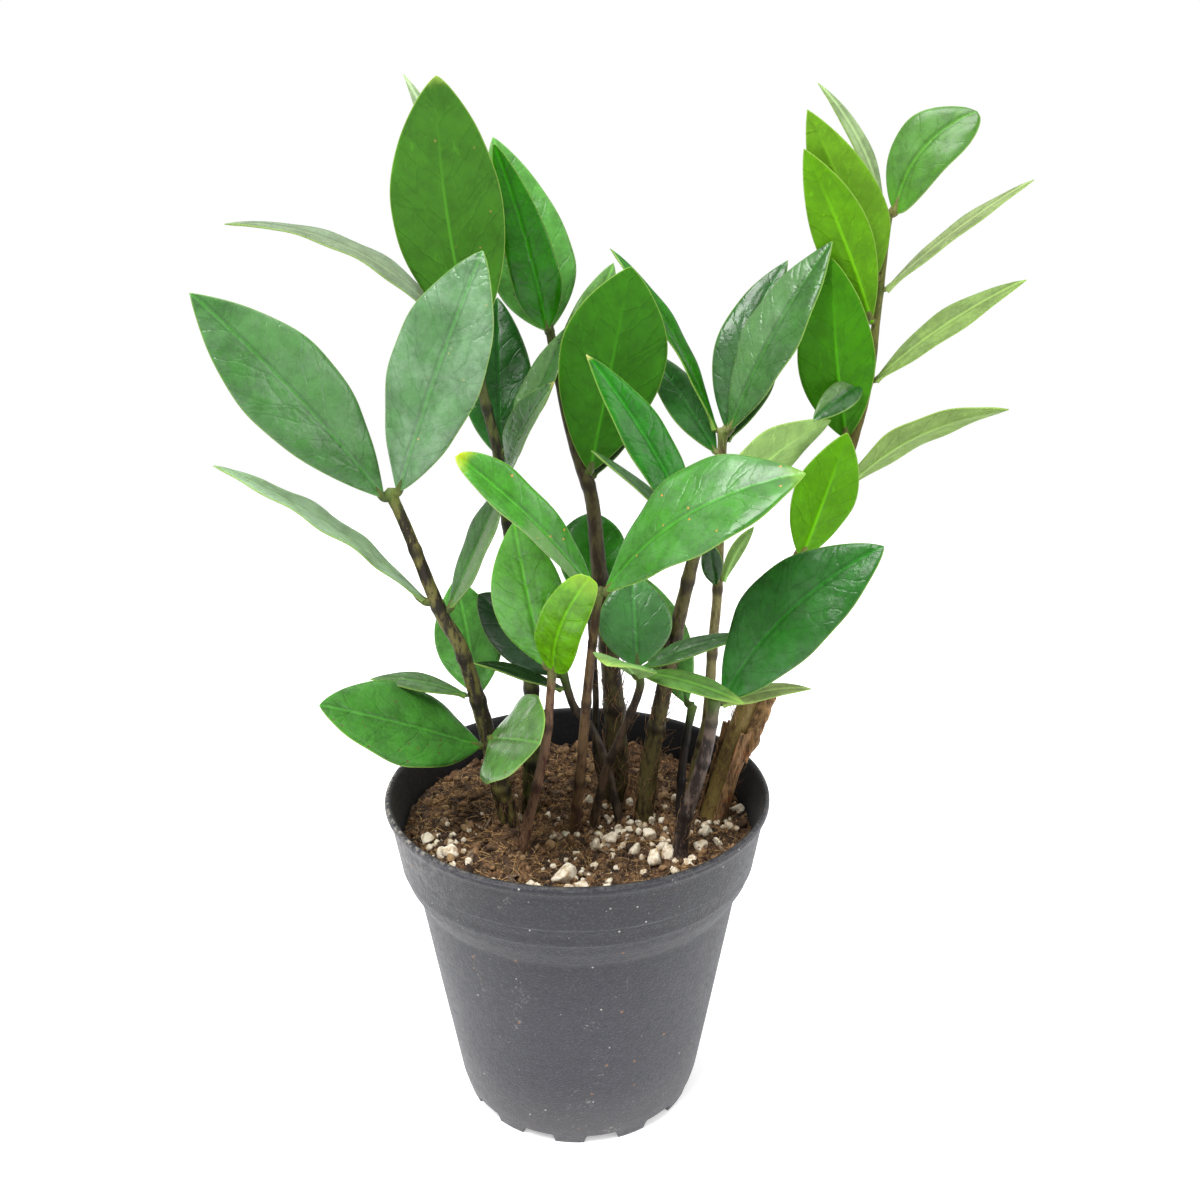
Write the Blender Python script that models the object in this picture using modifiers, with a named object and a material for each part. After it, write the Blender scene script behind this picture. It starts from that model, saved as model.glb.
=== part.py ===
"""Young ZZ plant in a round plastic nursery pot.

Frame: metres, +X right, +Y away from the viewer, +Z up.  The origin is the
centre of the pot's base, on the surface it stands on.  Lengths in the tables
are millimetres and angles are degrees; MM turns them into metres.
"""
import math

import bmesh
import bpy
from mathutils import Matrix, Vector

MM = 0.001
CLEARANCE = 0.3

# ---------------------------------------------------------------- pot
POT_SEGMENTS = 48
FOOT_RADIUS = 34.3
FOOT_RING_INNER = 31.9
NOTCH_OVERRUN = 2.0
FLOOR_UNDERSIDE = 3.2
FLOOR_TOP = 4.6
NOTCH_COUNT = 12
NOTCH_WIDTH = 9.4
NOTCH_HEIGHT = 2.6
FIRST_NOTCH_ANGLE = 11.5
DRAIN_COUNT = 6
DRAIN_RADIUS = 3.6
DRAIN_RING_RADIUS = 21.0
DRAIN_SEGMENTS = 20
DRAIN_CUT_DEPTH = 6.0

# Outer wall from the foot up to the lip: (radius, height).
POT_OUTSIDE = (
    (34.3, 0.0), (35.2, 3.0), (36.0, 6.0), (45.9, 66.3), (46.2, 67.3),
    (46.9, 68.3), (49.2, 72.5), (50.3, 75.5), (50.9, 79.0), (52.0, 86.0),
    (53.0, 91.9), (53.8, 92.4), (54.0, 93.4), (53.7, 94.2),
)
# Inner wall from the lip down to the floor.
POT_INSIDE = (
    (53.0, 94.5), (52.3, 94.0), (52.0, 92.8), (50.8, 86.0), (49.7, 79.0),
    (49.1, 75.9), (48.0, 73.0), (45.7, 68.9), (44.9, 67.4), (44.6, 66.0),
    (34.9, 6.6), (33.4, 4.6),
)
# Underside of the floor, from the centre pad out to the foot ring.
POT_UNDERSIDE = (
    (0.0, 0.0), (9.0, 0.0), (10.6, 3.2), (30.6, 3.2), (31.9, 2.4), (32.3, 0.0),
)
POT_FLOOR = ((12.0, 4.6), (10.0, 1.8), (0.0, 1.8))

# ---------------------------------------------------------------- soil
SOIL_LEVEL = 82.0
SOIL_SEGMENTS = 48
SOIL_RING_RADII = (36.0, 24.0, 12.0, 0.0)
# Soil outline from the middle of its underside out and up to the surface.
SOIL_SIDE = (
    (0.0, 2.2), (9.7, 2.2), (11.8, 5.0), (32.6, 5.0), (34.5, 7.2), (44.2, 66.2),
    (44.5, 67.6), (45.3, 69.2), (47.6, 73.3), (48.6, 76.0), (49.2, 79.0),
    (49.5, 81.2), (48.4, 82.0),
)
SOIL_RISE_AT_BACK = 2.0
STEM_DEPTH_IN_SOIL = 9.0
SOCKET_HEADROOM = 4.0

# ---------------------------------------------------------------- stems
# name: (radius at the soil, radius at the top, route points x, y, z)
STEMS = {
    "a": (2.9, 1.4, ((-20, 0, 83), (-25, -1, 110), (-31, -3, 136), (-36, -4, 147),
                     (-43, -7, 170), (-47, -8, 181))),
    "l": (2.6, 1.2, ((-14, 6, 83), (-13, 8, 117), (-16, 10, 140), (-19, 11, 169),
                     (-21, 12, 186), (-25, 12, 205), (-27, 12, 218))),
    "k": (3.8, 0.9, ((11, 12, 83), (11, 13, 103), (9, 15, 128), (6, 17, 153),
                     (4, 18, 173), (1, 19, 182), (-3, 20, 197), (-6, 20, 213),
                     (-9, 20, 224), (-18, 21, 238))),
    "b": (1.5, 1.1, ((-15, -14, 83), (-11, -14, 100), (-8, -14, 115), (-6, -15, 136))),
    "c": (1.6, 1.1, ((-1, -6, 83), (1, -8, 103), (3, -11, 128), (5, -14, 148),
                     (6, -16, 157))),
    "d": (1.3, 1.1, ((4, -2, 82), (8, -3, 100), (12, -4, 111), (17, -6, 126),
                     (16, -7, 132))),
    "e": (1.3, 1.1, ((12, 0, 82), (8, 2, 100), (4, 3, 110), (-1, 3, 117),
                     (-4, 3, 127))),
    "o": (1.1, 0.9, ((7, 19, 84), (5, 19, 96), (5, 20, 115), (4, 20, 130),
                     (3, 20, 142))),
    "h": (3.0, 1.6, ((19, 3, 83), (21, 3, 103), (24, 2, 122), (27, 1, 140),
                     (31, -1, 161), (33, -2, 167))),
    "t": (1.4, 1.1, ((29, -8, 80), (29, -3, 91), (30, 0, 105), (32, 1, 118))),
    "f": (1.7, 1.2, ((32, 6, 82), (34, 8, 95), (37, 9, 110), (38, 10, 131),
                     (39, 11, 149), (39, 11, 166), (39, 12, 193))),
    "i": (2.2, 1.5, ((28, -18, 82), (29, -17, 92), (33, -17, 107), (35, -18, 118),
                     (36, -19, 129))),
    "j": (3.5, 0.8, ((39, 4, 83), (44, 6, 102), (49, 8, 118), (56, 10, 137),
                     (62, 12, 158), (69, 13, 175), (73.5, 14, 187), (77.5, 15, 206),
                     (79, 16, 229), (80, 16, 248))),
}
STEM_BEVEL_RESOLUTION = 2
STEM_STEPS = 2

# ---------------------------------------------------------------- sheath of stem j
SHEATH_STEM = "j"
SHEATH_HEIGHTS = (85.0, 91.0, 98.0, 105.0, 110.0)
SHEATH_RADII = (4.7, 4.6, 4.6, 4.5, 4.3)
SHEATH_WALL = 0.6
SHEATH_SIDES = 16

# ---------------------------------------------------------------- leaflets
# name: (stem, height of its joint, tip x y z, (width, where it is widest as a
#        fraction of the length, roundness: less is rounder), compass azimuth
#        and elevation the upper face looks toward, upward arch, sideways bow,
#        fold angle, twist angle).  Azimuth 0 looks toward the viewer, 90 to
#        the right, 180 away and 270 to the left.
LEAVES = {
    "a1": ("a", 180, (-87, -22, 230), (24, 0.55, 0.9), (5, 35), 3, 1, 8, 0),
    "a2": ("a", 180, (-21, -12, 239), (25, 0.56, 0.8), (350, 25), 3, 0.5, 8, 0),
    "a3": ("a", 151, (-88, -16, 189), (20, 0.5, 0.8), (100, 55), 3, 0, 8, 0),
    "a4": ("a", 147, (-18, 0, 182), (15, 0.5, 0.8), (300, 30), 0, 0, 8, 0),
    "a5": ("a", 121, (-34, 14, 151), (19, 0.48, 0.8), (0, 20), -2, 0, 6, 0),
    "a7": ("a", 108, (-65, -24, 129), (25, 0.52, 0.75), (340, 50), 1, 0, 6, 0),
    "a8": ("a", 110, (-8, -42, 127), (26, 0.5, 0.62), (325, 42), 1, 0, 6, 0),
    "l1": ("l", 216, (-31, -6, 277), (28, 0.5, 0.75), (180, 10), 3, 2.5, 8, 0),
    "l2": ("l", 213, (-87, 8, 245), (12, 0.42, 0.8), (60, 60), 10, 0, 10, 0),
    "l4": ("l", 185, (-22, 34, 226), (19, 0.38, 0.8), (0, 20), 1, 0, 8, 0),
    "l5": ("l", 187, (-2, 16, 220), (12, 0.5, 0.9), (320, 20), -2, 0, 26, 0),
    "l6": ("l", 181, (-5, -6, 208), (11, 0.5, 0.9), (320, 20), 2, 0, 26, 0),
    "k1": ("k", 180, (14, 4, 235), (28, 0.6, 0.8), (180, 10), -2, 0, 8, 0),
    "m1": ("k", 219, (-20, 12, 264), (13, 0.25, 0.7), (0, 20), 1, 1, 8, 0),
    "m2": ("k", 218, (-22, 34, 267), (23, 0.32, 0.8), (0, 20), -1, 1, 8, 0),
    "o1": ("o", 141, (4, 34, 165), (20, 0.62, 0.6), (0, 20), 1, 0, 6, 0),
    "b1": ("b", 136, (-15, -16, 175), (18.5, 0.5, 0.8), (0, 20), 2, -0.5, 6, 0),
    "b2": ("b", 136, (4, -40, 168), (12, 0.4, 0.3), (0, 30), 2, -2, 6, 0),
    "c1": ("c", 157, (-27, -30, 194), (13, 0.72, 0.5), (20, 45), 3, 0, 24, 0),
    "c2": ("c", 157, (54, -30, 190), (26, 0.58, 0.85), (345, 50), 5, -3.5, 8, 0),
    "n1": ("d", 132, (15, 4, 155), (20, 0.46, 0.7), (0, 30), 1, 0, 6, 0),
    "d1": ("d", 132, (47, -10, 143), (6.5, 0.36, 0.9), (0, 60), 2.5, 0, 10, 0),
    "d2": ("d", 131, (8, -32, 143), (17, 0.5, 0.8), (0, 70), 2, 0, 6, 0),
    "d3": ("d", 131, (42, -30, 132), (7, 0.45, 0.7), (0, 60), 2, 0, 6, 0),
    "e1": ("e", 127, (-27, 6, 149), (17, 0.5, 0.7), (0, 20), -1, 1, 6, 0),
    "e2": ("e", 123, (-27, -10, 135), (9, 0.4, 0.8), (0, 80), 1, 0, 6, 0),
    "h1": ("h", 167, (3, -10, 215), (13, 0.5, 0.85), (20, 30), 4, 0, 8, 0),
    "h2": ("h", 166, (4, 4, 189), (6, 0.5, 0.9), (60, 50), 1, 0, 12, 0),
    "h3": ("h", 167, (66, 4, 197), (17, 0.55, 0.8), (180, 40), 2, 4, 8, 0),
    "f1": ("f", 193, (64, 6, 241), (18, 0.5, 0.85), (315, 20), 3, 0, 8, 0),
    "f2": ("f", 192, (56, 24, 236), (15, 0.45, 0.85), (340, 20), 3, -3, 8, 0),
    "f3": ("f", 193, (9, 20, 239), (10, 0.55, 0.9), (60, 30), 3, 0, 10, 0),
    "f4": ("f", 187, (20, 24, 212), (12, 0.5, 0.8), (20, 20), 2, -0.5, 8, 0),
    "i1": ("i", 129, (74, -28, 172), (24, 0.5, 0.75), (345, 40), 3, -3.5, 8, 0),
    "n2": ("t", 118, (19, 18, 150), (14, 0.5, 0.8), (0, 20), -2, 0, 6, 0),
    "j1": ("j", 248, (98, 10, 271), (17, 0.6, 0.55), (340, 30), 1, -4.5, 6, 0),
    "j2": ("j", 247, (60, 16, 278), (5, 0.45, 0.9), (20, 20), 1, 2.5, 6, 0),
    "j3": ("j", 232, (56, 6, 271), (17, 0.36, 0.85), (180, 20), -1, -0.5, 6, 0),
    "j4": ("j", 221, (55, 2, 262), (14, 0.5, 0.85), (180, 20), -1, -1, 6, 0),
    "j5": ("j", 190, (64, 6, 237), (20, 0.45, 0.8), (180, 10), -1, 1, 6, 0),
    "j6": ("j", 158, (70, 2, 194), (17, 0.52, 0.8), (180, 10), -1, 0, 6, 0),
    "j7": ("j", 229, (110, 0, 255), (7, 0.5, 0.9), (10, 62), 1.5, 0, 8, 0),
    "j8": ("j", 206, (111, 0, 232), (10, 0.5, 0.9), (30, 54), 2.5, 0, 8, 0),
    "j9": ("j", 178, (111, 2, 200), (14, 0.45, 0.85), (180, 50), 5, 0, 8, 0),
}
# (fraction of the length, fraction of the full width) of every leaflet.
LEAF_ROWS = (0.0, 0.05, 0.16, 0.34, 0.54, 0.74, 0.9, 1.0)
LEAF_COLUMNS = (-1.0, -0.5, 0.0, 0.5, 1.0)
LEAF_THICKNESS = 0.8
LEAF_BASE_WIDTH = 1.5
LEAF_TIP_WIDTH = 0.7

# ---------------------------------------------------------------- finishes
# name: (base colour, roughness)
FINISHES = {
    "pot_plastic": ((0.035, 0.037, 0.042), 0.62),
    "potting_soil": ((0.075, 0.042, 0.022), 0.95),
    "stem_skin": ((0.09, 0.08, 0.035), 0.55),
    "dry_sheath": ((0.33, 0.21, 0.10), 0.85),
    "leaf_green": ((0.045, 0.19, 0.03), 0.32),
}


def stem_radius(stem, fraction):
    """Radius in mm of a stem at a fraction of its height above the soil."""
    base, top, _ = STEMS[stem]
    return base + (top - base) * min(1.0, fraction) ** 0.8


def catmull_rom(points, steps):
    """Points of a smooth line through the given points."""
    knots = [Vector(p) for p in points]
    ends = [knots[0] * 2 - knots[1]] + knots + [knots[-1] * 2 - knots[-2]]
    line = []
    for p0, p1, p2, p3 in zip(ends, ends[1:], ends[2:], ends[3:]):
        for step in range(steps):
            t = step / steps
            line.append(0.5 * (
                2 * p1 + (p2 - p0) * t
                + (2 * p0 - 5 * p1 + 4 * p2 - p3) * t * t
                + (3 * p1 - p0 - 3 * p2 + p3) * t ** 3
            ))
    line.append(knots[-1])
    return line


def stem_line(stem):
    """Centre line of a stem in mm, from inside the soil to its top."""
    _, _, route = STEMS[stem]
    line = catmull_rom(route, STEM_STEPS)
    lean = (line[1] - line[0]).normalized()
    foot = line[0] - lean * (STEM_DEPTH_IN_SOIL / lean.z)
    return [foot] + line


def stem_fraction(stem, height):
    """Fraction of the way from the soil to the stem's top at this height."""
    _, _, route = STEMS[stem]
    low, high = route[0][2], route[-1][2]
    return max(0.0, (height - low) / (high - low))


def stem_at(stem, height):
    """Centre point, direction and radius of a stem at this height, in mm."""
    line = stem_line(stem)
    for low, high in zip(line, line[1:]):
        if high.z >= height or high is line[-1]:
            share = min(1.0, (height - low.z) / (high.z - low.z))
            point = low.lerp(high, share)
            radius = stem_radius(stem, stem_fraction(stem, height))
            return point, (high - low).normalized(), radius
    raise ValueError(stem)


def soil_rise(x, y):
    """Height in mm of the soil's surface above SOIL_LEVEL at a place."""
    return SOIL_RISE_AT_BACK * y / POT_INSIDE[0][0]


def compass(azimuth, elevation):
    """Unit vector toward a compass azimuth and an elevation in degrees."""
    turn, rise = math.radians(azimuth), math.radians(elevation)
    return Vector((
        math.sin(turn) * math.cos(rise),
        -math.cos(turn) * math.cos(rise),
        math.sin(rise),
    ))


def leaf_profile(t, widest, roundness):
    """Share of the full width at a fraction of the leaflet's length."""
    if t < widest:
        across = t / widest
    else:
        across = (1 - t) / (1 - widest)
    return math.sin(math.pi / 2 * across) ** roundness


def leaf_base(leaf):
    """Point in mm where a leaflet's blade starts, just off its stem."""
    stem, height, tip = LEAVES[leaf][:3]
    joint, along, radius = stem_at(stem, height)
    reach = Vector(tip) - joint
    outward = (reach - along * reach.dot(along)).normalized()
    return joint + outward * (radius + CLEARANCE + LEAF_THICKNESS / 2)


def leaf_point(leaf, t, s):
    """Point in mm of a leaflet: t runs base to tip, s from edge to edge."""
    _, _, tip, shape, face, arch, sweep, fold, twist = LEAVES[leaf]
    width, widest, roundness = shape
    base = leaf_base(leaf)
    span = Vector(tip) - base
    ahead = span.normalized()
    look = compass(*face)
    up = (look - ahead * look.dot(ahead)).normalized()
    side = ahead.cross(up)
    tangent = (span + up * (arch * (4 - 8 * t))).normalized()
    normal = side.cross(tangent)
    turn = Matrix.Rotation(math.radians(twist * t), 3, tangent)
    side, normal = turn @ side, turn @ normal
    least = LEAF_BASE_WIDTH * (1 - t) + LEAF_TIP_WIDTH * t
    half = max(width * leaf_profile(t, widest, roundness), least) / 2
    tilt = math.radians(fold)
    bow = 4 * t * (1 - t)
    centre = base + span * t + up * (arch * bow) + side * (sweep * bow)
    lift = half * abs(s) * math.sin(tilt) * min(1.0, 3 * t)
    return centre + side * (half * s * math.cos(tilt)) + normal * lift


def make_collection(name):
    """New collection under the scene's own."""
    collection = bpy.data.collections.new(name)
    bpy.context.scene.collection.children.link(collection)
    return collection


def paint(obj, finish):
    """Give an object a Principled material of its own in a named finish."""
    colour, roughness = FINISHES[finish]
    material = bpy.data.materials.new(f"{finish}_{obj.name}")
    material.use_nodes = True
    shader = material.node_tree.nodes["Principled BSDF"]
    shader.inputs["Base Color"].default_value = (*colour, 1.0)
    shader.inputs["Roughness"].default_value = roughness
    material.diffuse_color = (*colour, 1.0)
    obj.data.materials.append(material)


def add_mesh(name, bm, collection, smooth=True):
    """Turn a bmesh in mm into a mesh object in metres."""
    bmesh.ops.scale(bm, vec=Vector((MM, MM, MM)), verts=bm.verts)
    bmesh.ops.recalc_face_normals(bm, faces=bm.faces)
    for face in bm.faces:
        face.smooth = smooth
    mesh = bpy.data.meshes.new(name)
    bm.to_mesh(mesh)
    bm.free()
    obj = bpy.data.objects.new(name, mesh)
    collection.objects.link(obj)
    return obj


def add_turned(name, profile, segments, collection):
    """Turn a profile of (radius, height) points in mm about the Z axis."""
    bm = bmesh.new()
    verts = [bm.verts.new((radius, 0.0, height)) for radius, height in profile]
    for low, high in zip(verts, verts[1:]):
        bm.edges.new((low, high))
    obj = add_mesh(name, bm, collection)
    screw = obj.modifiers.new("Turn", "SCREW")
    screw.steps = segments
    screw.render_steps = segments
    screw.use_merge_vertices = True
    screw.merge_threshold = 0.00001
    screw.use_smooth_shade = True
    return obj


def add_tube(name, centres, radii, collection):
    """Capped round tube through the centres, as a curve with a bevel."""
    curve = bpy.data.curves.new(name, "CURVE")
    curve.dimensions = "3D"
    curve.bevel_depth = MM
    curve.bevel_resolution = STEM_BEVEL_RESOLUTION
    curve.use_fill_caps = True
    spline = curve.splines.new("POLY")
    spline.points.add(len(centres) - 1)
    spline.use_smooth = True
    for point, centre, radius in zip(spline.points, centres, radii):
        point.co = (*(centre * MM), 1.0)
        point.radius = radius
    obj = bpy.data.objects.new(name, curve)
    collection.objects.link(obj)
    return obj


def curve_to_mesh(obj, collection):
    """Replace a curve object with the same solid as a closed mesh."""
    bpy.context.view_layer.update()
    evaluated = obj.evaluated_get(bpy.context.evaluated_depsgraph_get())
    mesh = bpy.data.meshes.new_from_object(evaluated)
    bm = bmesh.new()
    bm.from_mesh(mesh)
    bmesh.ops.remove_doubles(bm, verts=bm.verts, dist=0.00001)
    bmesh.ops.recalc_face_normals(bm, faces=bm.faces)
    bm.to_mesh(mesh)
    bm.free()
    solid = bpy.data.objects.new(obj.name + "_solid", mesh)
    solid.matrix_world = obj.matrix_world
    collection.objects.link(solid)
    bpy.data.objects.remove(obj, do_unlink=True)
    return solid


def cut_away(obj, cutters):
    """Subtract each cutter from the object and hide the cutter."""
    for cutter in cutters:
        cutter.hide_render = True
        cutter.display_type = "WIRE"
        cut = obj.modifiers.new(f"Cut {cutter.name}", "BOOLEAN")
        cut.object = cutter
        cut.operation = "DIFFERENCE"
        cut.solver = "EXACT"


def make_foot_notch_cutter(cutters):
    """Blocks that cut the drainage notches through the pot's foot ring."""
    bm = bmesh.new()
    depth = 2 * (FOOT_RADIUS - FOOT_RING_INNER + NOTCH_OVERRUN)
    height = NOTCH_HEIGHT + NOTCH_OVERRUN
    size = Matrix.Diagonal((depth, NOTCH_WIDTH, height, 1.0))
    place = Matrix.Translation((
        (FOOT_RADIUS + FOOT_RING_INNER) / 2, 0.0, NOTCH_HEIGHT - height / 2,
    ))
    for index in range(NOTCH_COUNT):
        angle = math.radians(FIRST_NOTCH_ANGLE + index * 360.0 / NOTCH_COUNT)
        turn = Matrix.Rotation(angle, 4, "Z")
        bmesh.ops.create_cube(bm, size=1.0, matrix=turn @ place @ size)
    return add_mesh("foot_notches", bm, cutters, smooth=False)


def make_drain_cutter(cutters):
    """Round plugs that cut the drain holes through the pot's floor."""
    bm = bmesh.new()
    for index in range(DRAIN_COUNT):
        angle = math.radians(index * 360.0 / DRAIN_COUNT)
        place = Matrix.Translation((
            DRAIN_RING_RADIUS * math.cos(angle),
            DRAIN_RING_RADIUS * math.sin(angle),
            (FLOOR_UNDERSIDE + FLOOR_TOP) / 2,
        ))
        bmesh.ops.create_cone(
            bm, cap_ends=True, segments=DRAIN_SEGMENTS, radius1=DRAIN_RADIUS,
            radius2=DRAIN_RADIUS, depth=DRAIN_CUT_DEPTH, matrix=place,
        )
    return add_mesh("drain_holes", bm, cutters)


def make_pot(parts, cutters):
    """Thin moulded nursery pot with a stepped collar and a notched foot."""
    profile = POT_UNDERSIDE + POT_OUTSIDE + POT_INSIDE + POT_FLOOR
    pot = add_turned("pot", profile, POT_SEGMENTS, parts)
    cut_away(pot, [make_foot_notch_cutter(cutters), make_drain_cutter(cutters)])
    paint(pot, "pot_plastic")


def make_stem(stem, parts):
    """One round stem, tapering from the soil to its top."""
    centres = stem_line(stem)
    radii = [stem_radius(stem, stem_fraction(stem, centre.z)) for centre in centres]
    obj = add_tube(f"stem_{stem}", centres, radii, parts)
    paint(obj, "stem_skin")


def make_socket(stem, cutters):
    """Cutter for the hole in the soil that one stem stands in."""
    line = stem_line(stem)
    lean = (line[1] - line[0]).normalized()
    foot = line[0] - lean * CLEARANCE
    mouth = line[1] + (line[2] - line[1]).normalized() * SOCKET_HEADROOM
    radius = stem_radius(stem, 0.0) + CLEARANCE
    tube = add_tube(f"socket_{stem}", [foot, line[1], mouth], [radius] * 3, cutters)
    return curve_to_mesh(tube, cutters)


def make_soil(parts, cutters):
    """Body of potting mix that fills the pot, higher toward the back."""
    surface = tuple((radius, SOIL_LEVEL) for radius in SOIL_RING_RADII)
    turned = add_turned("soil_turned", SOIL_SIDE + surface, SOIL_SEGMENTS, cutters)
    soil = curve_to_mesh(turned, parts)
    soil.name = "soil"
    for vertex in soil.data.vertices:
        if vertex.co.z > (SOIL_LEVEL - CLEARANCE) * MM:
            vertex.co.z += soil_rise(vertex.co.x / MM, vertex.co.y / MM) * MM
    soil.data.shade_smooth()
    cut_away(soil, [make_socket(stem, cutters) for stem in STEMS])
    paint(soil, "potting_soil")


def make_sheath(parts):
    """Dry papery tube around the foot of the tallest right-hand stem."""
    bm = bmesh.new()
    rings = []
    for height, radius in zip(SHEATH_HEIGHTS, SHEATH_RADII):
        centre, along, _ = stem_at(SHEATH_STEM, height)
        right = along.cross(Vector((0, 1, 0))).normalized()
        back = along.cross(right)
        ring = []
        for index in range(SHEATH_SIDES):
            angle = index * math.tau / SHEATH_SIDES
            spoke = right * math.cos(angle) + back * math.sin(angle)
            ring.append(bm.verts.new(centre + spoke * radius))
        rings.append(ring)
    for low, high in zip(rings, rings[1:]):
        for index in range(SHEATH_SIDES):
            after = (index + 1) % SHEATH_SIDES
            bm.faces.new((low[index], low[after], high[after], high[index]))
    sheath = add_mesh(f"sheath_{SHEATH_STEM}", bm, parts)
    add_thickness(sheath, SHEATH_WALL)
    paint(sheath, "dry_sheath")


def add_thickness(obj, thickness):
    """Thicken an open surface evenly to both sides."""
    solidify = obj.modifiers.new("Thickness", "SOLIDIFY")
    solidify.thickness = thickness * MM
    solidify.offset = 0.0


def make_leaf(leaf, parts):
    """One leaflet: a gently arched and folded blade of even thickness."""
    bm = bmesh.new()
    rows = [
        [bm.verts.new(leaf_point(leaf, t, s)) for s in LEAF_COLUMNS]
        for t in LEAF_ROWS
    ]
    for low, high in zip(rows, rows[1:]):
        for index in range(len(LEAF_COLUMNS) - 1):
            bm.faces.new((low[index], low[index + 1], high[index + 1], high[index]))
    obj = add_mesh(f"leaf_{leaf}", bm, parts)
    add_thickness(obj, LEAF_THICKNESS)
    paint(obj, "leaf_green")


def main():
    """Clear the scene and build the plant in its pot."""
    for obj in list(bpy.data.objects):
        bpy.data.objects.remove(obj, do_unlink=True)
    parts = make_collection("potted_zz_plant")
    cutters = make_collection("cutters")
    make_pot(parts, cutters)
    make_soil(parts, cutters)
    for stem in STEMS:
        make_stem(stem, parts)
    make_sheath(parts)
    for leaf in LEAVES:
        make_leaf(leaf, parts)


main()
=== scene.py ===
import math
import random

import bmesh
import bpy
import numpy as np
from mathutils import Matrix, Vector, noise


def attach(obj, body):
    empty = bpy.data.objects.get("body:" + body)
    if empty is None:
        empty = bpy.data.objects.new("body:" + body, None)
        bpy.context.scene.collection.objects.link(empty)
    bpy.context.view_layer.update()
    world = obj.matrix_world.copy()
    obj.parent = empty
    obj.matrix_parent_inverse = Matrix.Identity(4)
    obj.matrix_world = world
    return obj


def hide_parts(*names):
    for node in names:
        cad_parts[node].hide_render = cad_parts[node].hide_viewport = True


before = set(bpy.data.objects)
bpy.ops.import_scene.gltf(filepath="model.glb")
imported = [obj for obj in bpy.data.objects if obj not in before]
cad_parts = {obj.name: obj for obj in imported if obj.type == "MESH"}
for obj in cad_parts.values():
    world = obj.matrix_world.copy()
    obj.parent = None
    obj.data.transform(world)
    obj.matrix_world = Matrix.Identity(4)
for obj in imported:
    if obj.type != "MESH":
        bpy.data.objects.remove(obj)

MM = 0.001
CLEARANCE = 0.3
# Seeds of all that is random or lumpy, so that every run makes the same plant.
SEEDS = {
    "pot": 1, "soil": 3, "crumbs": 11, "chips": 12, "grains": 13, "fibres": 14, "hairs": 15,
    "ridges": 21, "knots": 22, "flap": 31, "sheath": 4.0,
}

# ---------------------------------------------------------------- pot
POT_COLUMNS = 240
POT_ROW_STEP = 1.2
POT_WOBBLE = 0.12
POT_WOBBLE_WIDTH = 38.0
NOTCH_COUNT = 12
NOTCH_WIDTH = 9.4
NOTCH_HEIGHT = 2.6
FIRST_NOTCH_ANGLE = 11.5
FOOT_RADIUS = 34.3
FOOT_RING_INNER = 31.5
DRAIN_COUNT = 6
DRAIN_RADIUS = 3.6
DRAIN_RING_RADIUS = 21.0
DRAIN_PLUG = (3.9, 6.0)
DRAIN_SEGMENTS = 32

# Profile of (radius, height): underside of the floor, outer wall up to the
# lip, inner wall down to the floor, and the floor's upper side.
POT_PROFILE = (
    (0.0, 0.0), (9.0, 0.0), (10.6, 3.2), (30.6, 3.2), (31.9, 2.4), (32.3, 0.0),
    (34.3, 0.0), (35.2, 3.0), (36.0, 6.0), (45.9, 66.3), (46.2, 67.3),
    (46.9, 68.3), (49.2, 72.5), (50.1, 75.1), (50.35, 75.6), (50.8, 78.9),
    (50.95, 79.3), (52.0, 86.0), (53.0, 91.7), (53.7, 92.2), (54.0, 92.9),
    (54.0, 93.6), (53.7, 94.2), (53.2, 94.5), (52.6, 94.3), (52.25, 93.7),
    (52.0, 92.6), (50.8, 86.0), (49.7, 79.0), (49.1, 75.9), (48.0, 73.0),
    (45.7, 68.9), (44.9, 67.4), (44.6, 66.0), (34.9, 6.6), (33.4, 4.6),
    (12.0, 4.6), (10.0, 1.8), (0.0, 1.8),
)
RIM_HEIGHT = 94.5
# Heights of the thin lighter lines painted as highlights along the collar's and lip's edges.
POT_HIGHLIGHT_LINES = (75.6, 80.8, 93.8)
# Chalky smudges on the wall: (x, y, z), reach.
POT_SMUDGES = (
    ((-14, -41, 55), 3.5), ((-15, -41, 50), 3.0), ((-16, -40, 44), 3.5), ((-29, -30, 64), 4.0),
    ((-46, -20, 80), 9.0), ((4, -42, 46), 3.0), ((10, -34, 4), 5.0), ((-30, -18, 30), 4.0),
)
# Specks on the plastic: (spacing, share of places with one, colour).
POT_SPECKS = (
    (2.2, 0.04, (176, 172, 166)), (3.9, 0.11, (118, 84, 58)), (2.8, 0.08, (84, 62, 48)),
    (1.7, 0.08, (26, 25, 28)), (1.3, 0.03, (150, 147, 144)),
)

# ---------------------------------------------------------------- soil
SOIL_LEVEL = 82.0
SOIL_EDGE_RADIUS = 49.5
SOIL_RISE_AT_BACK = 2.0
SOIL_COLUMNS = 420
SOIL_RING_STEP = 0.55
# Darkest and lightest sRGB colour of each loose material, from 0 to 255.
PEAT_COLOURS = ((22, 13, 8), (106, 76, 49))
CRUMB_COLOURS = ((54, 35, 21), (142, 106, 70))
COIR_COLOURS = ((70, 46, 26), (196, 156, 102))
HAIR_COLOURS = ((74, 50, 34), (158, 122, 84))
PAPER_COLOURS = ((74, 50, 30), (158, 122, 80))
HUSK_COLOURS = ((70, 48, 32), (140, 106, 72))
# Outline from the middle of its underside out and up to the surface.
SOIL_SIDE = (
    (0.0, 2.2), (9.7, 2.2), (11.8, 5.0), (32.6, 5.0), (34.5, 7.2), (44.2, 66.2),
    (44.5, 67.6), (45.3, 69.2), (47.6, 73.3), (48.6, 76.0), (49.2, 79.0),
)
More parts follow.
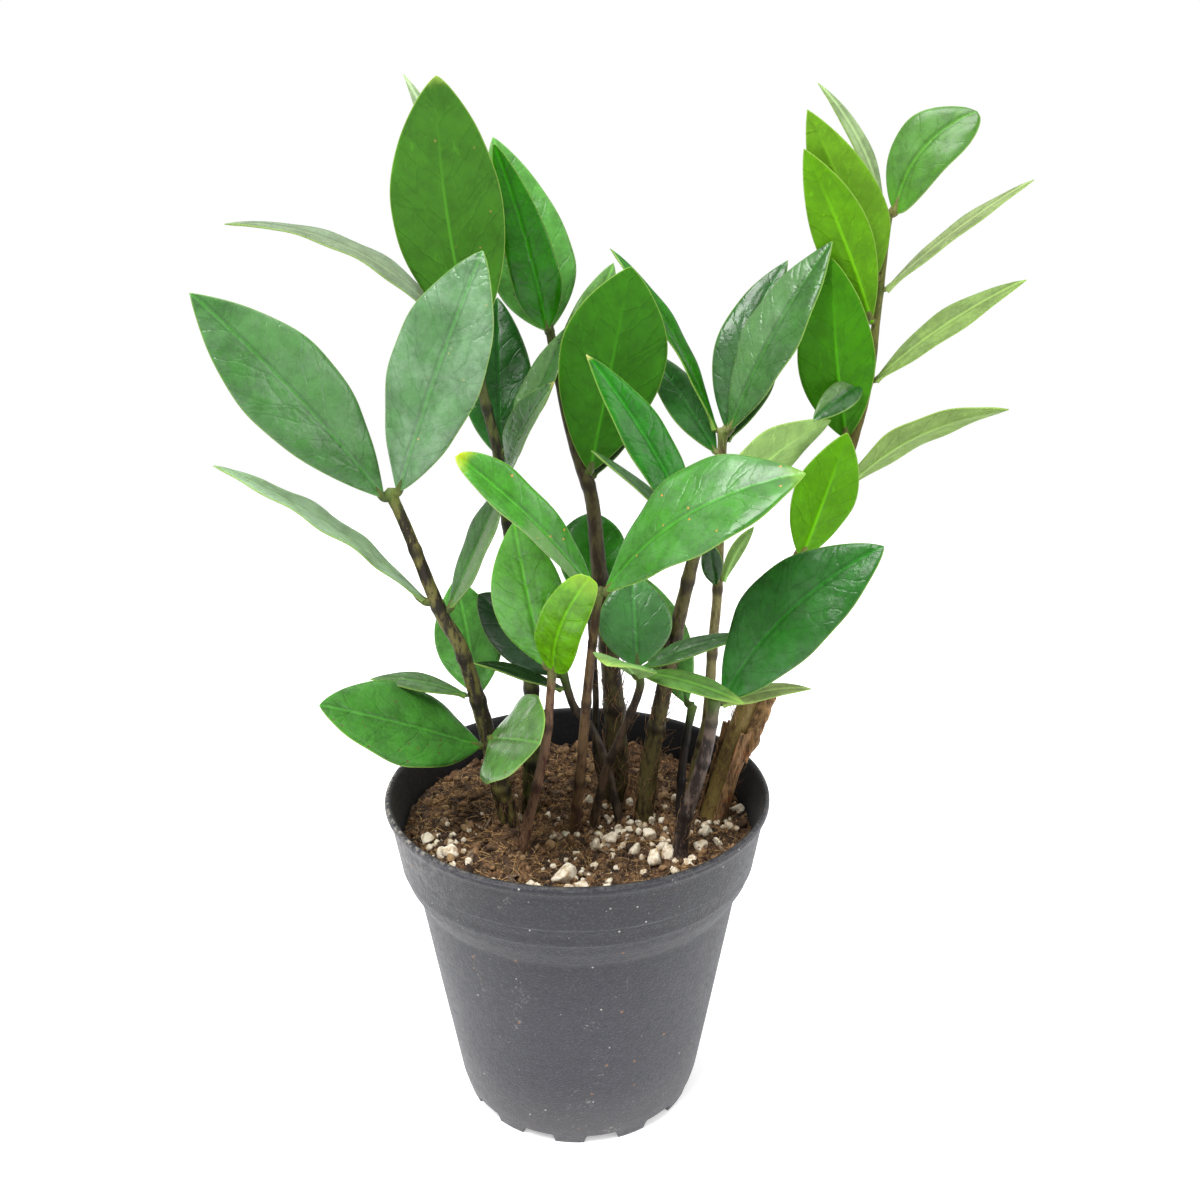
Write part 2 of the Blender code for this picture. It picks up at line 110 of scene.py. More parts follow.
# (width of a lump, height of a lump) of each layer of the soil's roughness.
SOIL_LUMPS = ((13.0, 1.2), (5.5, 1.2), (2.4, 1.1), (1.1, 0.75))
CRUMB_COUNT = 3600
CRUMB_RADII = (0.25, 1.25)
# Shares of its radius by which a crumb and a grain sink in, and mm for the rest.
CRUMB_SINK = 0.35
GRAIN_SINK = 0.45
CHIP_SINK = 0.4
FIBRE_SINK = 0.2
FIBRE_COUNT = 3200
FIBRE_LENGTHS = (2.0, 8.0)
FIBRE_RADII = (0.05, 0.15)
# Bent strands: points along one, sides, how much each step turns it sideways
# and up or down, and its radius at the tip as a share of that at the foot.
STRAND_POINTS = 7
STRAND_SIDES = 4
STRAND_BENDS = (0.28, 0.12)
STRAND_TIP = 0.4
CHIP_COUNT = 34
CHIP_LENGTHS = (2.5, 6.5)
CHIP_SPOTS = [(-8, 16), (-11, 18)]
# Loose pale grains lying on the soil: (x, y, radius).
GRAINS = (
    (-3, -29, 3.0), (2, -32, 1.8), (8, -31, 1.2), (-42, -10, 1.9), (-39, -12, 1.2),
    (-34, -19, 1.9), (-37, -17, 1.5), (21, -21, 2.5), (25, -18, 2.1), (3, 12, 1.6),
    (20, -9, 2.0), (9, -11, 2.2), (34, -14, 1.7), (30, -22, 1.5), (47, 7, 2.2),
    (-17, 3, 1.3), (5, -13, 1.8), (13, -12, 1.4), (16, -15, 1.8), (24, -12, 1.5),
    (12, -6, 1.7), (6, -6, 1.5), (-3, -9, 1.3), (-29, -22, 1.2), (-31, -4, 1.0),
    (18, -26, 1.4), (26, -26, 1.2), (36, -7, 1.6), (39, -12, 1.3), (43, -4, 1.4),
    (25, 8, 1.7), (29, 12, 1.4), (15, 9, 1.5), (-25, 14, 1.0), (-12, -31, 1.3),
    (-6, -24, 1.1), (11, -24, 1.0), (31, -2, 1.6), (-22, -30, 1.1), (0, -17, 1.2),
)
SMALL_GRAIN_COUNT = 190
SMALL_GRAIN_RADII = (0.35, 1.2)
GRAIN_FLATS = 9
# Where the small grains gather: (x, y, spread).
GRAIN_DRIFTS = (
    (12, 2, 9), (12, -6, 10), (27, -12, 9), (-37, -14, 8), (0, -28, 10), (38, 2, 8), (0, 0, 32),
)

# ---------------------------------------------------------------- stems
# name: (radius at the soil, radius at the top, route points x, y, z)
STEMS = {
    "a": (2.9, 1.4, ((-20, 0, 83), (-25, -1, 110), (-31, -3, 136), (-36, -4, 147),
                     (-43, -7, 170), (-47, -8, 181))),
    "l": (2.6, 1.2, ((-14, 6, 83), (-13, 8, 117), (-16, 10, 140), (-19, 11, 169),
                     (-21, 12, 186), (-25, 12, 205), (-27, 12, 218))),
    "k": (3.8, 0.9, ((11, 12, 83), (11, 13, 103), (9, 15, 128), (6, 17, 153),
                     (4, 18, 173), (1, 19, 182), (-3, 20, 197), (-6, 20, 213),
                     (-9, 20, 224), (-18, 21, 238))),
    "b": (1.5, 1.1, ((-15, -14, 83), (-11, -14, 100), (-8, -14, 115), (-6, -15, 136))),
    "c": (1.6, 1.1, ((-1, -6, 83), (1, -8, 103), (3, -11, 128), (5, -14, 148),
                     (6, -16, 157))),
    "d": (1.3, 1.1, ((4, -2, 82), (8, -3, 100), (12, -4, 111), (17, -6, 126),
                     (16, -7, 132))),
    "e": (1.3, 1.1, ((12, 0, 82), (8, 2, 100), (4, 3, 110), (-1, 3, 117),
                     (-4, 3, 127))),
    "o": (1.1, 0.9, ((7, 19, 84), (5, 19, 96), (5, 20, 115), (4, 20, 130),
                     (3, 20, 142))),
    "h": (3.0, 1.6, ((19, 3, 83), (21, 3, 103), (24, 2, 122), (27, 1, 140),
                     (31, -1, 161), (33, -2, 167))),
    "t": (1.4, 1.1, ((29, -8, 80), (29, -3, 91), (30, 0, 105), (32, 1, 118))),
    "f": (1.7, 1.2, ((32, 6, 82), (34, 8, 95), (37, 9, 110), (38, 10, 131),
                     (39, 11, 149), (39, 11, 166), (39, 12, 193))),
    "i": (2.2, 1.5, ((28, -18, 82), (29, -17, 92), (33, -17, 107), (35, -18, 118),
                     (36, -19, 129))),
    "j": (3.5, 0.8, ((39, 4, 83), (44, 6, 102), (49, 8, 118), (56, 10, 137),
                     (62, 12, 158), (69, 13, 175), (73.5, 14, 187), (77.5, 15, 206),
                     (79, 16, 229), (80, 16, 248))),
}
STEM_DEPTH_IN_SOIL = 9.0
STEM_STEPS = 14
STEM_SIDES = 28
STEM_ROW_STEP = 0.7
# (share by which it swells, reach up and down) of the nodes and of the top.
NODE_SWELL = (0.13, 1.3)
TOP_SWELL = (0.25, 2.5)
# (width, height) of the skin's ridges and knots, and the ridges' scale along Z.
SKIN_RIDGES = (1.3, 0.09)
SKIN_KNOTS = (2.2, 0.07)
RIDGE_STRETCH = (1, 1, 0.18)
# name: (light skin, dark skin, share of dark, heights of the dark nodes)
STEM_LOOKS = {
    "a": ((104, 98, 52), (42, 34, 26), 0.62, (93, 108, 121, 134, 149, 165)),
    "l": ((78, 82, 40), (36, 32, 20), 0.55, (98, 120, 150, 168, 185, 199)),
    "k": ((68, 62, 33), (42, 31, 18), 0.58, (112, 131, 150, 177)),
    "b": ((118, 90, 70), (78, 50, 40), 0.45, (101, 119)),
    "c": ((98, 76, 52), (60, 40, 30), 0.50, (99, 124, 142)),
    "d": ((74, 58, 42), (38, 28, 22), 0.60, (104, 119)),
    "e": ((70, 58, 44), (36, 28, 22), 0.60, (99, 113)),
    "o": ((62, 54, 40), (32, 26, 20), 0.60, (104, 125)),
    "h": ((86, 78, 44), (48, 37, 24), 0.52, (111, 139, 155)),
    "t": ((36, 28, 22), (16, 12, 10), 0.70, (96, 108)),
    "f": ((126, 118, 76), (84, 70, 50), 0.45, (103, 130, 149, 172)),
    "i": ((94, 80, 72), (40, 31, 28), 0.60, (94, 110, 122)),
    "j": ((118, 100, 54), (84, 62, 36), 0.45, (121, 158, 178, 206, 229)),
}
# How far down from its tip a stem stays green, where that is more than 4 mm.
FRESH_REACH = {"j": 45.0, "k": 22.0}
# Fibrous remains round the foot of a stem: (stem, count, low, high, length).
HAIRS = (
    ("a", 90, 80, 99, 10), ("l", 60, 80, 96, 9), ("k", 220, 80, 128, 12),
    ("b", 40, 80, 94, 8), ("c", 40, 80, 95, 8), ("h", 170, 80, 138, 9),
    ("f", 24, 80, 94, 8), ("i", 40, 79, 94, 8), ("j", 120, 80, 112, 10),
)
HAIR_RADIUS = 0.11
# Torn scales: (stem, how many, lowest, highest, seed).
HUSKS = (
    ("k", 1, 80, 93, 2.2), ("h", 1, 80, 92, 4.3), ("b", 1, 80, 87, 3.0),
)

# ---------------------------------------------------------------- sheath of stem j
SHEATH_STEM = "j"
SHEATH_HEIGHTS = (81.0, 85.0, 91.0, 98.0, 105.0, 110.5)
SHEATH_RADII = (4.4, 4.2, 4.1, 4.1, 4.3, 5.0)
SHEATH_ROWS = 60
SHEATH_COLUMNS = 80
SHEATH_THICKNESS = 0.3
# Where the wrap starts, round from the left by way of the front, and how far it goes.
SHEATH_START = 88.0
SHEATH_SWEEP = 250.0
# The curled dry flap at the sheath's top: centre line and half-widths.
FLAP_LINE = ((47, 3, 100), (50, 3, 107), (52, 4, 113), (54, 5, 118), (56, 7, 120))
FLAP_HALF_WIDTHS = (2.4, 3.0, 3.2, 2.6, 1.0)
# The flap's columns, the ways its width and its face point, and the
# (width, height) of its crumples.
FLAP_COLUMNS = 22
FLAP_SIDE = (0.86, -0.5, -0.1)
FLAP_OUT = (0.5, -0.8, 0.35)
FLAP_CRUMPLES = ((2.6, 0.9), (1.1, 0.4))
# Folds of a wrap: (depth, folds round it, length).
WRAP_FOLDS = ((0.75, 3.2, 16), (0.42, 8.0, 9))
# How far a wrap's top is torn down, as a share of its height.
SHEATH_TEAR = 0.12
HUSK_TEAR = 0.65
HUSK_SWEEP = 2.6
HUSK_ROWS = 18
HUSK_COLUMNS = 22

# ---------------------------------------------------------------- leaflets
# name: (stem, height of its joint, tip x y z, (width, where it is widest as a
#        fraction of the length, roundness: less is rounder), compass azimuth
#        and elevation the upper face looks toward, upward arch, sideways bow,
#        fold angle).  Azimuth 0 looks toward the viewer, 90 to the right,
#        180 away and 270 to the left.
LEAVES = {
    "a1": ("a", 180, (-87, -22, 230), (24, 0.55, 0.9), (5, 35), 3, 1, 8),
    "a2": ("a", 180, (-21, -12, 239), (25, 0.56, 0.8), (350, 25), 3, 0.5, 8),
    "a3": ("a", 151, (-88, -16, 189), (20, 0.5, 0.8), (100, 55), 3, 0, 8),
    "a4": ("a", 147, (-18, 0, 182), (15, 0.5, 0.8), (300, 30), 0, 0, 8),
    "a5": ("a", 121, (-34, 14, 151), (19, 0.48, 0.8), (0, 20), -2, 0, 6),
    "a6": ("a", 123, (-56, -4, 128), (7, 0.5, 0.9), (0, 70), 2, 0, 6),
    "a7": ("a", 108, (-65, -24, 129), (25, 0.52, 0.75), (340, 50), 1, 0, 6),
    "a8": ("a", 110, (-8, -42, 127), (26, 0.5, 0.62), (325, 42), 1, 0, 6),
    "l1": ("l", 216, (-31, -6, 277), (28, 0.5, 0.75), (180, 10), 3, 2.5, 8),
    "l2": ("l", 213, (-87, 8, 245), (12, 0.42, 0.8), (60, 60), 10, 0, 10),
    "l3": ("l", 217, (-42, 16, 280), (9, 0.5, 0.9), (0, 20), 2, 6, 6),
    "l4": ("l", 185, (-22, 34, 226), (19, 0.38, 0.8), (0, 20), 1, 0, 8),
    "l5": ("l", 187, (-2, 16, 220), (12, 0.5, 0.9), (320, 20), -2, 0, 26),
    "l6": ("l", 181, (-5, -6, 208), (11, 0.5, 0.9), (320, 20), 2, 0, 26),
    "k1": ("k", 180, (14, 4, 235), (28, 0.6, 0.8), (180, 10), -2, 0, 8),
    "k2": ("k", 178, (18, 34, 200), (10, 0.5, 0.9), (0, 20), 2, -1, 6),
    "m1": ("k", 219, (-20, 12, 264), (13, 0.25, 0.7), (0, 20), 1, 1, 8),
    "m2": ("k", 218, (-22, 34, 267), (23, 0.32, 0.8), (0, 20), -1, 1, 8),
    "m3": ("k", 214, (10, 36, 235), (8, 0.5, 0.8), (0, 20), 2, 2, 6),
    "m4": ("k", 222, (-18, 34, 238), (11, 0.5, 0.9), (0, 20), 2, 0, 6),
    "o1": ("o", 141, (4, 34, 165), (20, 0.62, 0.6), (0, 20), 1, 0, 6),
    "b1": ("b", 136, (-15, -16, 175), (18.5, 0.5, 0.8), (0, 20), 2, -0.5, 6),
    "b2": ("b", 136, (4, -40, 168), (12, 0.4, 0.3), (0, 30), 2, -2, 6),
    "c1": ("c", 157, (-27, -30, 194), (13, 0.72, 0.5), (20, 45), 3, 0, 24),
    "c2": ("c", 157, (54, -30, 190), (26, 0.58, 0.85), (345, 50), 5, -3.5, 8),
    "n1": ("d", 132, (15, 4, 155), (20, 0.46, 0.7), (0, 30), 1, 0, 6),
    "d1": ("d", 132, (47, -10, 143), (6.5, 0.36, 0.9), (0, 60), 2.5, 0, 10),
    "d2": ("d", 131, (8, -32, 143), (17, 0.5, 0.8), (0, 70), 2, 0, 6),
    "d3": ("d", 131, (42, -30, 132), (7, 0.45, 0.7), (0, 60), 2, 0, 6),
    "e1": ("e", 127, (-27, 6, 149), (17, 0.5, 0.7), (0, 20), -1, 1, 6),
    "e2": ("e", 123, (-27, -10, 135), (9, 0.4, 0.8), (0, 80), 1, 0, 6),
    "h1": ("h", 167, (3, -10, 215), (13, 0.5, 0.85), (20, 30), 4, 0, 8),
    "h2": ("h", 166, (4, 4, 189), (6, 0.5, 0.9), (60, 50), 1, 0, 12),
    "h3": ("h", 167, (66, 4, 197), (17, 0.55, 0.8), (180, 40), 2, 4, 8),
    "f1": ("f", 193, (64, 6, 241), (18, 0.5, 0.85), (315, 20), 3, 0, 8),
    "f2": ("f", 192, (56, 24, 236), (15, 0.45, 0.85), (340, 20), 3, -3, 8),
    "f3": ("f", 193, (9, 20, 239), (10, 0.55, 0.9), (60, 30), 3, 0, 10),
    "f4": ("f", 187, (20, 24, 212), (12, 0.5, 0.8), (20, 20), 2, -0.5, 8),
    "f5": ("f", 190, (55, 26, 208), (7, 0.5, 0.9), (330, 20), 2, 0.5, 6),
    "g1": ("f", 151, (35, 4, 165), (6, 0.5, 0.7), (0, 20), 1, 0, 6),
    "g2": ("f", 152, (47, 2, 169), (4, 0.5, 0.7), (180, 20), 1, 0.5, 6),
    "i1": ("i", 129, (74, -28, 172), (24, 0.5, 0.75), (345, 40), 3, -3.5, 8),
    "i2": ("i", 127, (61, -18, 131), (6, 0.4, 0.9), (0, 70), 2, 0, 6),
    "n2": ("t", 118, (19, 18, 150), (14, 0.5, 0.8), (0, 20), -2, 0, 6),
    "j1": ("j", 248, (98, 10, 271), (17, 0.6, 0.55), (340, 30), 1, -4.5, 6),
    "j2": ("j", 247, (60, 16, 278), (5, 0.45, 0.9), (20, 20), 1, 2.5, 6),
    "j3": ("j", 232, (56, 6, 271), (17, 0.36, 0.85), (180, 20), -1, -0.5, 6),
    "j4": ("j", 221, (55, 2, 262), (14, 0.5, 0.85), (180, 20), -1, -1, 6),
    "j5": ("j", 190, (64, 6, 237), (20, 0.45, 0.8), (180, 10), -1, 1, 6),
    "j6": ("j", 158, (70, 2, 194), (17, 0.52, 0.8), (180, 10), -1, 0, 6),
    "j7": ("j", 229, (110, 0, 255), (7, 0.5, 0.9), (10, 62), 1.5, 0, 8),
    "j8": ("j", 206, (111, 0, 232), (10, 0.5, 0.9), (30, 54), 2.5, 0, 8),
    "j9": ("j", 178, (111, 2, 200), (14, 0.45, 0.85), (180, 50), 5, 0, 8),
    "j10": ("j", 205, (61, 2, 197), (8, 0.5, 0.8), (30, 50), 2, 0, 10),
}
# How strongly the veins and wrinkles of some leaflets stand out; the rest go by
# their painted sheen.  Those seen nearly on edge are kept the smoothest.
RELIEFS = {
    "l2": 0.1, "l3": 0.1, "a3": 0.1, "j2": 0.1, "j7": 0.05, "j8": 0.05, "j9": 0.1,
    "d2": 0.1, "d3": 0.1, "i2": 0.1, "j1": 0.2, "c1": 0.4, "c2": 0.4, "a8": 0.35,
    "f1": 0.8, "a2": 0.7, "a1": 0.8,
}
SMOOTHEST = 0.1
BLADE_ROW_STEP = 0.9
BLADE_HALF_COLUMNS = 12
BLADE_CROWDING = 1.5
BLADE_THICKNESS = 0.75
BLADE_EDGE_THICKNESS = 0.25
BLADE_BASE_THICKNESS = 0.7
BLADE_BASE_FADE = 3.0
BLADE_BASE_WIDTH = 1.5
BLADE_TIP_WIDTH = 0.3
RIB_GROOVE = (0.28, 0.5)
RIB_RIDGE = (0.5, 0.65)
VEIN_SPACING = 6.6
VEIN_SLANT = 0.85
VEIN_CURVE = 0.014
VEIN_WANDER = 4.5
VEIN_REACH = 13.0
QUILT_DEPTH = 0.06
EDGE_WAVE = 0.45
EDGE_WAVE_LENGTH = 17.0
# Stalk of a leaflet: how far it runs under the blade, and its radii along it.
STALK_REACH = 4.5
STALK_RADII = (1.35, 1.15, 0.95, 0.35)
STALK_SIDES = 14
STALK_GREEN = 0.7

# Colours of each leaflet's two faces, as sRGB from 0 to 255, and how much
# painted whitish sheen, standing for reflected light, the upper face carries: (upper, lower, sheen).
LEAF_TONES = {
    "a1": ((44, 98, 28), (100, 145, 80), 0.20),
    "a2": ((52, 102, 42), (110, 150, 90), 0.42),
    # a3's pale greyish tone is painted sheen, as it is seen at a glancing angle.
    "a3": ((112, 142, 94), (120, 150, 100), 0.60),
    "a4": ((48, 94, 26), (100, 135, 80), 0.16),
    "a5": ((76, 140, 52), (95, 140, 75), 0.05),
    "a6": ((62, 96, 44), (95, 130, 75), 0.10),
    "a7": ((56, 112, 36), (95, 145, 75), 0.04),
    "a8": ((70, 112, 42), (110, 150, 85), 0.12),
    # l1's vivid yellow-green underside is painted light shining through it.
    "l1": ((55, 110, 30), (60, 112, 28), 0.05),
    # l2's pale greyish tone is painted sheen, as it is seen at a glancing angle.
    "l2": ((94, 108, 78), (100, 116, 84), 0.35),
    "l3": ((140, 160, 120), (150, 170, 130), 0.20),
    "l4": ((14, 78, 4), (60, 110, 45), 0.08),
    "l5": ((42, 88, 24), (85, 120, 65), 0.12),
    "l6": ((48, 90, 32), (95, 125, 75), 0.16),
    # k1's vivid yellow-green underside is painted light shining through it.
    "k1": ((45, 100, 20), (48, 106, 14), 0.05),
    "k2": ((30, 48, 22), (60, 80, 50), 0.00),
    "m1": ((32, 100, 2), (90, 140, 60), 0.00),
    "m2": ((76, 136, 54), (110, 165, 85), 0.05),
    "m3": ((74, 120, 46), (115, 160, 80), 0.05),
    "m4": ((35, 80, 22), (55, 95, 40), 0.00),
    "o1": ((34, 108, 4), (70, 125, 45), 0.05),
    "b1": ((64, 130, 20), (110, 160, 75), 0.12),
    "b2": ((84, 142, 10), (130, 178, 70), 0.00),
    "c1": ((54, 130, 8), (150, 172, 130), 0.12),
    "c2": ((48, 114, 14), (110, 165, 80), 0.18),
    "n1": ((52, 106, 46), (80, 120, 70), 0.12),
    "d1": ((42, 88, 24), (75, 110, 55), 0.20),
    "d2": ((110, 155, 80), (130, 170, 100), 0.10),
    "d3": ((70, 110, 38), (120, 158, 85), 0.08),
    "e1": ((8, 46, 8), (50, 80, 42), 0.12),
    "e2": ((20, 44, 12), (46, 70, 34), 0.00),
    "h1": ((22, 102, 0), (80, 145, 55), 0.04),
    "h2": ((50, 84, 40), (85, 115, 70), 0.10),
    "h3": ((90, 135, 55), (130, 164, 90), 0.00),
    "f1": ((42, 90, 24), (95, 140, 75), 0.16),
    "f2": ((30, 80, 20), (85, 130, 68), 0.12),
    "f3": ((34, 104, 4), (85, 140, 55), 0.00),
    "f4": ((32, 90, 24), (75, 118, 60), 0.08),
    "f5": ((50, 88, 42), (75, 105, 60), 0.05),
    "g1": ((18, 58, 6), (65, 95, 45), 0.05),
    "g2": ((108, 142, 74), (115, 148, 80), 0.10),
    "i1": ((16, 84, 0), (80, 135, 50), 0.10),
    "i2": ((146, 162, 102), (130, 155, 95), 0.05),
    "n2": ((70, 122, 52), (90, 135, 70), 0.05),
    "j1": ((62, 112, 24), (110, 160, 75), 0.10),
    "j2": ((130, 152, 104), (165, 185, 142), 0.10),
    # The vivid yellow-green of j3 to j6 is painted light shining through them.
    "j3": ((90, 145, 30), (96, 146, 26), 0.00),
    "j4": ((85, 145, 22), (84, 140, 6), 0.00),
    "j5": ((60, 125, 8), (54, 118, 0), 0.00),
    "j6": ((72, 135, 12), (78, 138, 2), 0.00),
    "j7": ((116, 132, 84), (155, 172, 125), 0.10),
    "j8": ((108, 132, 68), (145, 168, 105), 0.10),
    "j9": ((105, 145, 60), (114, 142, 72), 0.00),
    "j10": ((20, 72, 6), (85, 130, 60), 0.12),
}
# Colour of the painted whitish sheen on the upper faces.
PAINTED_SHEEN_COLOUR = (158, 184, 158)
# Marks of age, and halves painted pale as sheen, on single leaflets.
# name: (colour of the end, share of the length it takes, how strongly)
END_MARKS = {
    "c1": ((176, 190, 30), 0.08, 0.9),
    "l6": ((212, 186, 98), 0.05, 0.6),
    "h1": ((206, 196, 120), 0.03, 0.7),
    "b2": ((150, 190, 50), 0.20, 0.5),
    "d1": ((196, 178, 120), 0.16, 0.8),
    "d3": ((150, 176, 90), 0.20, 0.4),
    "d2": ((176, 196, 92), 0.25, 0.4),
    "c2": ((134, 176, 44), 0.10, 0.5),
    "l1": ((150, 180, 80), 0.05, 0.7),
}
# Painted sheen: one half of a leaflet painted pale where its fold turns that half to the light.
# name: (which half, its colour, from and to as fractions of the length, strength)
SHEEN_HALVES = {
    "c1": (-1, (118, 146, 98), 0.05, 0.6, 0.7), "a4": (1, (104, 128, 84), 0.0, 1.0, 0.6),
    "l5": (-1, (104, 138, 86), 0.0, 1.0, 0.5), "l6": (1, (112, 140, 96), 0.0, 1.0, 0.6),
    "j10": (1, (104, 136, 80), 0.0, 1.0, 0.6), "a1": (1, (96, 142, 86), 0.15, 0.9, 0.35),
    "d2": (1, (150, 184, 120), 0.0, 0.9, 0.5), "f1": (-1, (104, 142, 92), 0.1, 0.95, 0.4),
}
# name: (colour, spacing in mm, share of cells with a speck), and a speck's
# outer and inner radius.
SPECK_RADII = (0.4, 0.2)
SPECK_MARKS = {
    "a7": ((96, 66, 44), 2.2, 0.35), "a8": ((96, 66, 44), 2.2, 0.40),
    "a4": ((40, 44, 28), 2.4, 0.30), "l5": ((40, 44, 28), 2.4, 0.30),
    "l6": ((40, 44, 28), 2.4, 0.30), "c2": ((196, 140, 60), 3.0, 0.20),
    "c1": ((196, 140, 60), 3.0, 0.25), "j6": ((120, 60, 30), 3.0, 0.25),
    "l1": ((138, 122, 66), 3.0, 0.30), "a2": ((170, 152, 104), 3.0, 0.30),
}

# ---------------------------------------------------------------- studio
CAMERA_SPOT = (6.3, -285.0, 243.0)
CAMERA_PITCH = 18.2
CAMERA_LENS = 33.51
CAMERA_SENSOR = 36.0
CAMERA_CLIP = (0.01, 20.0)
FLOOR_RADIUS = 0.75
FLOOR_SIDES = 128
FLOOR_GLOW = 0.4
FLOOR_TONES = ((0.93, 0.93, 0.93, 1), (0.96, 0.96, 0.96, 1))
WHITE = (1, 1, 1, 1)
SKY_HORIZON = 0.62
SKY_ABOVE = 0.25
SKY_FADE = (0.18, 0.5)
LIGHT_TARGET = (0, 0, 150)
# Lamps: (name, place, (width, height) in metres, watts).
LIGHTS = (
    ("key", (-330, -360, 900), (0.5, 0.5), 12.0),
    ("fill", (800, -250, 450), (0.4, 0.9), 4.0),
    ("top", (100, 300, 1200), (1.4, 1.4), 11.0),
)


# ---------------------------------------------------------------- geometry helpers
def unit(vector):
    """The vector at length one."""
    return vector / np.linalg.norm(vector)


def lumps(points, size, seed):
    """Smooth noise from -1 to 1 at each point, in lumps about size mm wide."""
    shift = Vector((17.3 * seed, 5.1 * seed, 9.7 * seed))
    return np.array([noise.noise(Vector(p) / size + shift) for p in points])


def catmull_rom(points, steps):
    """Points of a smooth line through the given points."""
    knots = np.array(points, float)
    ends = np.vstack([2 * knots[0] - knots[1], knots, 2 * knots[-1] - knots[-2]])
    share = np.arange(steps)[:, None] / steps
    spans = []
    for p0, p1, p2, p3 in zip(ends, ends[1:], ends[2:], ends[3:]):
        spans.append(0.5 * (
            2 * p1 + (p2 - p0) * share
            + (2 * p0 - 5 * p1 + 4 * p2 - p3) * share ** 2
            + (3 * p1 - p0 - 3 * p2 + p3) * share ** 3
        ))
    return np.vstack(spans + [knots[-1:]])


def evenly_spaced(line, step):
    """The same line with a point about every step mm."""
    lengths = np.linalg.norm(np.diff(line, axis=0), axis=1)
    along = np.concatenate([[0.0], np.cumsum(lengths)])
    count = max(3, int(math.ceil(along[-1] / step)) + 1)
    places = np.linspace(0.0, along[-1], count)
    return np.stack([np.interp(places, along, column) for column in line.T], axis=1)


def compass(azimuth, elevation):
    """Unit vector toward a compass azimuth and an elevation in degrees."""
    turn, rise = math.radians(azimuth), math.radians(elevation)
    return np.array([
        math.sin(turn) * math.cos(rise), -math.cos(turn) * math.cos(rise), math.sin(rise),
    ])


def grid_faces(rows, columns, wrap=False, start=0):
    """Quads of a grid of points kept row by row; wrap joins the last column to the first."""
    across = columns if wrap else columns - 1
    row, column = np.meshgrid(np.arange(rows - 1), np.arange(across), indexing="ij")
    after = (column + 1) % columns
    quads = np.stack([
        row * columns + column, row * columns + after,
        (row + 1) * columns + after, (row + 1) * columns + column,
    ], axis=-1)
    return (quads.reshape(-1, 4) + start).tolist()


class Shape:
    """Vertices in mm, faces with material numbers, and values kept on the vertices."""

    def __init__(self):
        self.points, self.faces, self.slots, self.count = [], [], [], 0
        self.values = {}

    def add(self, points, faces, slot=0, **values):
        """Add a closed piece; a value is a number or vector for each of its points."""
        start = self.count
        self.points.append(np.asarray(points, float))
        self.faces += [[corner + start for corner in face] for face in faces]
        self.slots += [slot] * len(faces) if np.isscalar(slot) else list(slot)
        self.count += len(points)
        for name, numbers in values.items():
            self.values.setdefault(name, []).append((start, np.asarray(numbers, float)))

    def attribute(self, name):
        """One value per vertex, nought where none was given."""
        given = self.values[name]
        shape = (self.count,) + given[0][1].shape[1:]
        filled = np.zeros(shape, np.float32)
        for start, numbers in given:
            filled[start:start + len(numbers)] = numbers
        return filled

    def finish(self, name, materials, slot, replaced=()):
        """Make the mesh object, in metres, riding on the part's one body."""
        mesh = bpy.data.meshes.new(name)
        mesh.from_pydata((np.vstack(self.points) * MM).tolist(), [], self.faces)
        for material in materials:
            mesh.materials.append(material)
        mesh.polygons.foreach_set("material_index", self.slots)
        for label in self.values:
            numbers = self.attribute(label)
            kind, field = ("FLOAT", "value") if numbers.ndim == 1 else ("FLOAT_VECTOR", "vector")
            layer = mesh.attributes.new(label, kind, "POINT")
            layer.data.foreach_set(field, numbers.ravel())
        mesh.shade_smooth()
        mesh.update()
        obj = bpy.data.objects.new(name, mesh)
        bpy.context.scene.collection.objects.link(obj)
        place(obj, slot, replaced)
        return obj


def place(obj, slot, replaced=()):
    """Tie a piece to the body and hide the nodes it stands for; the slot is not used."""
    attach(obj, "root")
    if replaced:
        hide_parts(*replaced)


def frames_along(line):
    """Two unit vectors square to the line at each of its points, without twist."""
    ahead = np.gradient(line, axis=0)
    ahead /= np.linalg.norm(ahead, axis=1)[:, None]
    first = unit(np.cross(ahead[0], (0.31, 0.95, 0.07)))
    sides = [first]
    for direction in ahead[1:]:
        sides.append(unit(sides[-1] - direction * (sides[-1] @ direction)))
    sides = np.array(sides)
    return sides, np.cross(ahead, sides)


def tube(line, radii, sides):
    """Points and faces of a closed round tube with blunt points at its ends."""
    line, radii = np.asarray(line, float), np.asarray(radii, float)
    side, up = frames_along(line)
    angles = np.arange(sides) * math.tau / sides
    spokes = side[:, None] * np.cos(angles)[None, :, None] + up[:, None] * np.sin(angles)[None, :, None]
    rings = line[:, None] + spokes * radii[:, None, None]
    points = rings.reshape(-1, 3)
    faces = grid_faces(len(line), sides, wrap=True)
    tips = np.array([
        line[0] - unit(line[1] - line[0]) * radii[0] * 0.5,
        line[-1] + unit(line[-1] - line[-2]) * radii[-1] * 0.5,
    ])
    low, high = len(points), len(points) + 1
    last = (len(line) - 1) * sides
    for index in range(sides):
        after = (index + 1) % sides
        faces.append([after, index, low])
        faces.append([last + index, last + after, high])
    return np.vstack([points, tips]), faces


